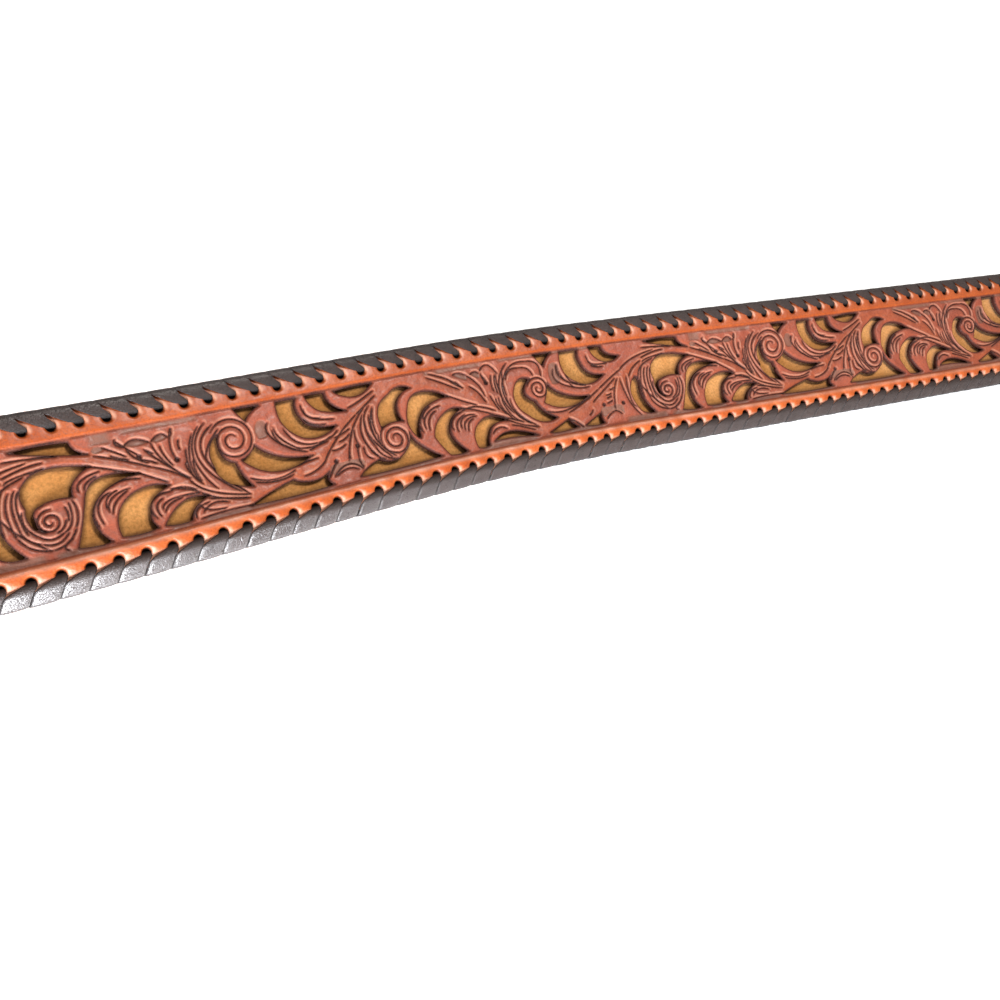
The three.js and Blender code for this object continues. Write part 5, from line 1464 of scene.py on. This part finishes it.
tooled_material = tooled_leather()
for piece in tooled_pieces:
    piece.data.materials.append(tooled_material)
print("tooled leather on", len(tooled_pieces), "pieces")

# %% [markdown]
# ## Suede
#
# The underlay is split leather, sanded to a short nap and dyed ochre. A nap scatters light from
# its fibre ends, which is what sheen does in the shader, and it shows no highlight. Along the
# openings it is darker: partly dye and paste seeped from the carving, partly painted shade at the
# foot of the walls.

# %% Suede
def ochre_suede():
    material, tree = new_material("sanded_split_suede")
    place = add(tree, "TexCoord", give="Object")
    seep_and_shade = add(tree, "Attribute", give="Fac", attribute_name="seep_and_shade")
    patch = add(tree, "TexNoise", {"Vector": place, "Scale": spaced(6), **SOFT_NOISE}, "Fac")
    # single fibres don't show, so the nap is drawn as tufts
    tufts = {"Vector": place, "Scale": spaced(0.7), "Detail": 5, "Roughness": 0.75}
    nap = add(tree, "TexNoise", tufts, "Fac")
    colour = dye(tree, "#d8924a", [
        (patch, 0.35, 0.65, 0, 1, "#e6a45c"),
        (nap, 0.42, 0.68, 0, 0.65, "#98602a"),
        # seeped dye and painted shade along the openings' walls
        (seep_and_shade, 0, 0.8, 0, 0.7, "#4a2814"),
    ])
    finish_material(tree, {
        "Base Color": colour,
        "Roughness": 0.95,
        "IOR": 1.45,
        "Normal": add(tree, "Bump", {"Height": nap, "Strength": 0.8, "Distance": 0.2 * MM}),
        "Sheen Weight": 0.35,
        "Sheen Roughness": 0.5,
    })
    return material


suede_material = ochre_suede()
for piece in (underlay, underlay_back):
    piece.data.materials.append(suede_material)
print("suede on the underlay")

# %% [markdown]
# ## Lacing leather
#
# Thin chrome-tanned calf, drum-dyed dark brown and plated, so it is smooth and satin. Along the
# front edge, at the bend, it is stretched and rubbed to a gloss, and there it looks silver. Its
# grain opens in fine cracks, which break that highlight. The gloss is a coat over the leather. The
# IOR of plating is about 1.5, and the coat's 2 was matched to how bright the photograph shows it.

# %% Lacing leather
def lacing_leather():
    material, tree = new_material("plated_calf_lace")
    place = add(tree, "TexCoord", give="Object")
    inner, edge_shade, stretch = (
        add(tree, "Attribute", give="Fac", attribute_name=name) for name in ("inner", "edge_shade", "stretch")
    )
    patch = add(tree, "TexNoise", {"Vector": place, "Scale": spaced(4), **SOFT_NOISE}, "Fac")
    fine = {"Vector": place, "Scale": spaced(0.35), "Detail": 4, "Roughness": 0.6}
    fine_grain = add(tree, "TexNoise", fine, "Fac")
    # the cracks are finer than a pixel too, and drawn half a millimetre apart
    cells = {"Vector": place, "Scale": spaced(0.5)}
    to_crack = add(tree, "TexVoronoi", cells, "Distance", feature="DISTANCE_TO_EDGE")
    crack = add(tree, "MapRange", [to_crack, 0, 0.1, 1, 0])
    # painted shade: in the holes, below the edge and between the turns
    shade = add(tree, "Math", [inner, edge_shade], operation="MAXIMUM")
    colour = dye(tree, "#352722", [
        (patch, 0.35, 0.65, 0, 1, "#3f302b"),
        (crack, 0, 1, 0, 0.6, "#1c1513"),
        (shade, 0, 1, 0, 1, "#0b0807"),
    ])
    grain = add(tree, "Math", [fine_grain, crack], operation="SUBTRACT")
    bump = add(tree, "Bump", {"Height": grain, "Strength": 0.6, "Distance": 0.1 * MM})
    off_edge = add(tree, "MapRange", [edge_shade, 0, 0.5, 1, 0])
    off_crack = add(tree, "MapRange", [crack, 0.3, 0.9, 1, 0.1])
    rubbed = add(tree, "Math", [stretch, off_edge], operation="MULTIPLY")
    polished = add(tree, "Math", [rubbed, off_crack], operation="MULTIPLY")
    finish_material(tree, {
        "Base Color": colour,
        "Roughness": add(tree, "MapRange", [polished, 0, 1, 0.65, 0.35]),
        "IOR": 1.5,
        "Normal": bump,
        "Coat Weight": polished,
        "Coat IOR": 2.0,
        "Coat Roughness": 0.28,
        "Coat Normal": bump,
    })
    return material


lacing_material = lacing_leather()
for piece in (lace_far, lace_near):
    piece.data.materials.append(lacing_material)
print("lacing leather on both rows")

# %% [markdown]
# ## Buckle metal
#
# A cheap frame buckle is cast zinc, polished and nickel plated. Nickel is a warm grey metal, and
# handling leaves it slightly hazy, so its roughness wanders a little.

# %% Nickel plate
def nickel_plate():
    material, tree = new_material("nickel_plated_zinc")
    place = add(tree, "TexCoord", give="Object")
    haze = add(tree, "TexNoise", {"Vector": place, "Scale": spaced(5), **SOFT_NOISE}, "Fac")
    # polishing marks are far finer, so they are drawn this coarse
    fine = {"Vector": place, "Scale": spaced(0.3), "Detail": 4, "Roughness": 0.6}
    scratch = add(tree, "TexNoise", fine, "Fac")
    finish_material(tree, {
        "Base Color": dye(tree, "#c2bcb0", [(haze, 0, 1, 0, 1, "#d6d1c8")]),
        "Metallic": 1.0,
        "Roughness": add(tree, "MapRange", [haze, 0.3, 0.7, 0.2, 0.34]),
        "Normal": add(tree, "Bump", {"Height": scratch, "Strength": 0.08, "Distance": 0.02 * MM}),
    })
    return material


nickel_material = nickel_plate()
for piece in (buckle_frame, prong, prong_ring, *post_pieces):
    piece.data.materials.append(nickel_material)
print("nickel plate on the buckle and the posts")

# %% [markdown]
# ## Table and light
#
# The photograph was taken on white, under a light from high behind the belt's right side, which
# throws the short shadows into the openings. A low broad light from the front left draws the pale
# lines along the near edges, where painted highlight on the tooled leather adds to them, and the
# silver on the near lacing. A white board that is lit from all round goes to pure white in a
# picture, so the board also gives off a little light itself.

# %% Table
TABLE_HALF = 2500.0
corners = [(x, y, 0) for y in (-TABLE_HALF, TABLE_HALF) for x in (-TABLE_HALF, TABLE_HALF)]
table_mesh = bpy.data.meshes.new("table")
table_mesh.from_pydata((np.array(corners) * MM).tolist(), [], [(0, 1, 3, 2)])
table = bpy.data.objects.new("table", table_mesh)
bpy.context.scene.collection.objects.link(table)


def white_board():
    material, tree = new_material("matt_white_board")
    place = add(tree, "TexCoord", give="Object")
    cloud = add(tree, "TexNoise", {"Vector": place, "Scale": spaced(300), **SOFT_NOISE}, "Fac")
    finish_material(tree, {
        "Base Color": dye(tree, "#fbfbfa", [(cloud, 0, 1, 0, 1, "#ffffff")]),
        "Roughness": 0.9,
        "Emission Color": linear("#ffffff"),
        "Emission Strength": 0.45,
    })
    return material


table_mesh.materials.append(white_board())
table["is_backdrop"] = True

# %% Lights
def softbox(name, place, aim, width, depth, watts, colour):
    data = bpy.data.lights.new(name, "AREA")
    data.shape = "RECTANGLE"
    data.size, data.size_y = width * MM, depth * MM
    data.energy = watts
    data.color = linear(colour)[:3]
    lamp = bpy.data.objects.new(name, data)
    away = np.array(aim, float) - np.array(place, float)
    lamp.location = [value * MM for value in place]
    lamp.rotation_euler = (
        math.atan2(math.hypot(away[0], away[1]), -away[2]), 0, math.atan2(away[0], -away[1]) + math.pi
    )
    bpy.context.scene.collection.objects.link(lamp)


softbox("key_softbox", (330, 420, 760), (0, 0, 0), 160, 160, 5.6, "#fffaf4")
softbox("front_softbox", (-255, -430, 170), (-130, 0, 20), 410, 340, 9.8, "#f6f9ff")
world = bpy.data.worlds.new("studio")
world.use_nodes = True
world.node_tree.nodes["Background"].inputs["Color"].default_value = linear("#f4f6fa")
world.node_tree.nodes["Background"].inputs["Strength"].default_value = 0.28
bpy.context.scene.world = world
print("two softboxes and a pale studio")

# %% [markdown]
# ## Sizes and the end
#
# The box of the dressed part is printed, as the imported model's box was at the start.

# %% Size and finish
dressed_box = [list(corner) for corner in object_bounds()]
print("dressed box in metres:", dressed_box)
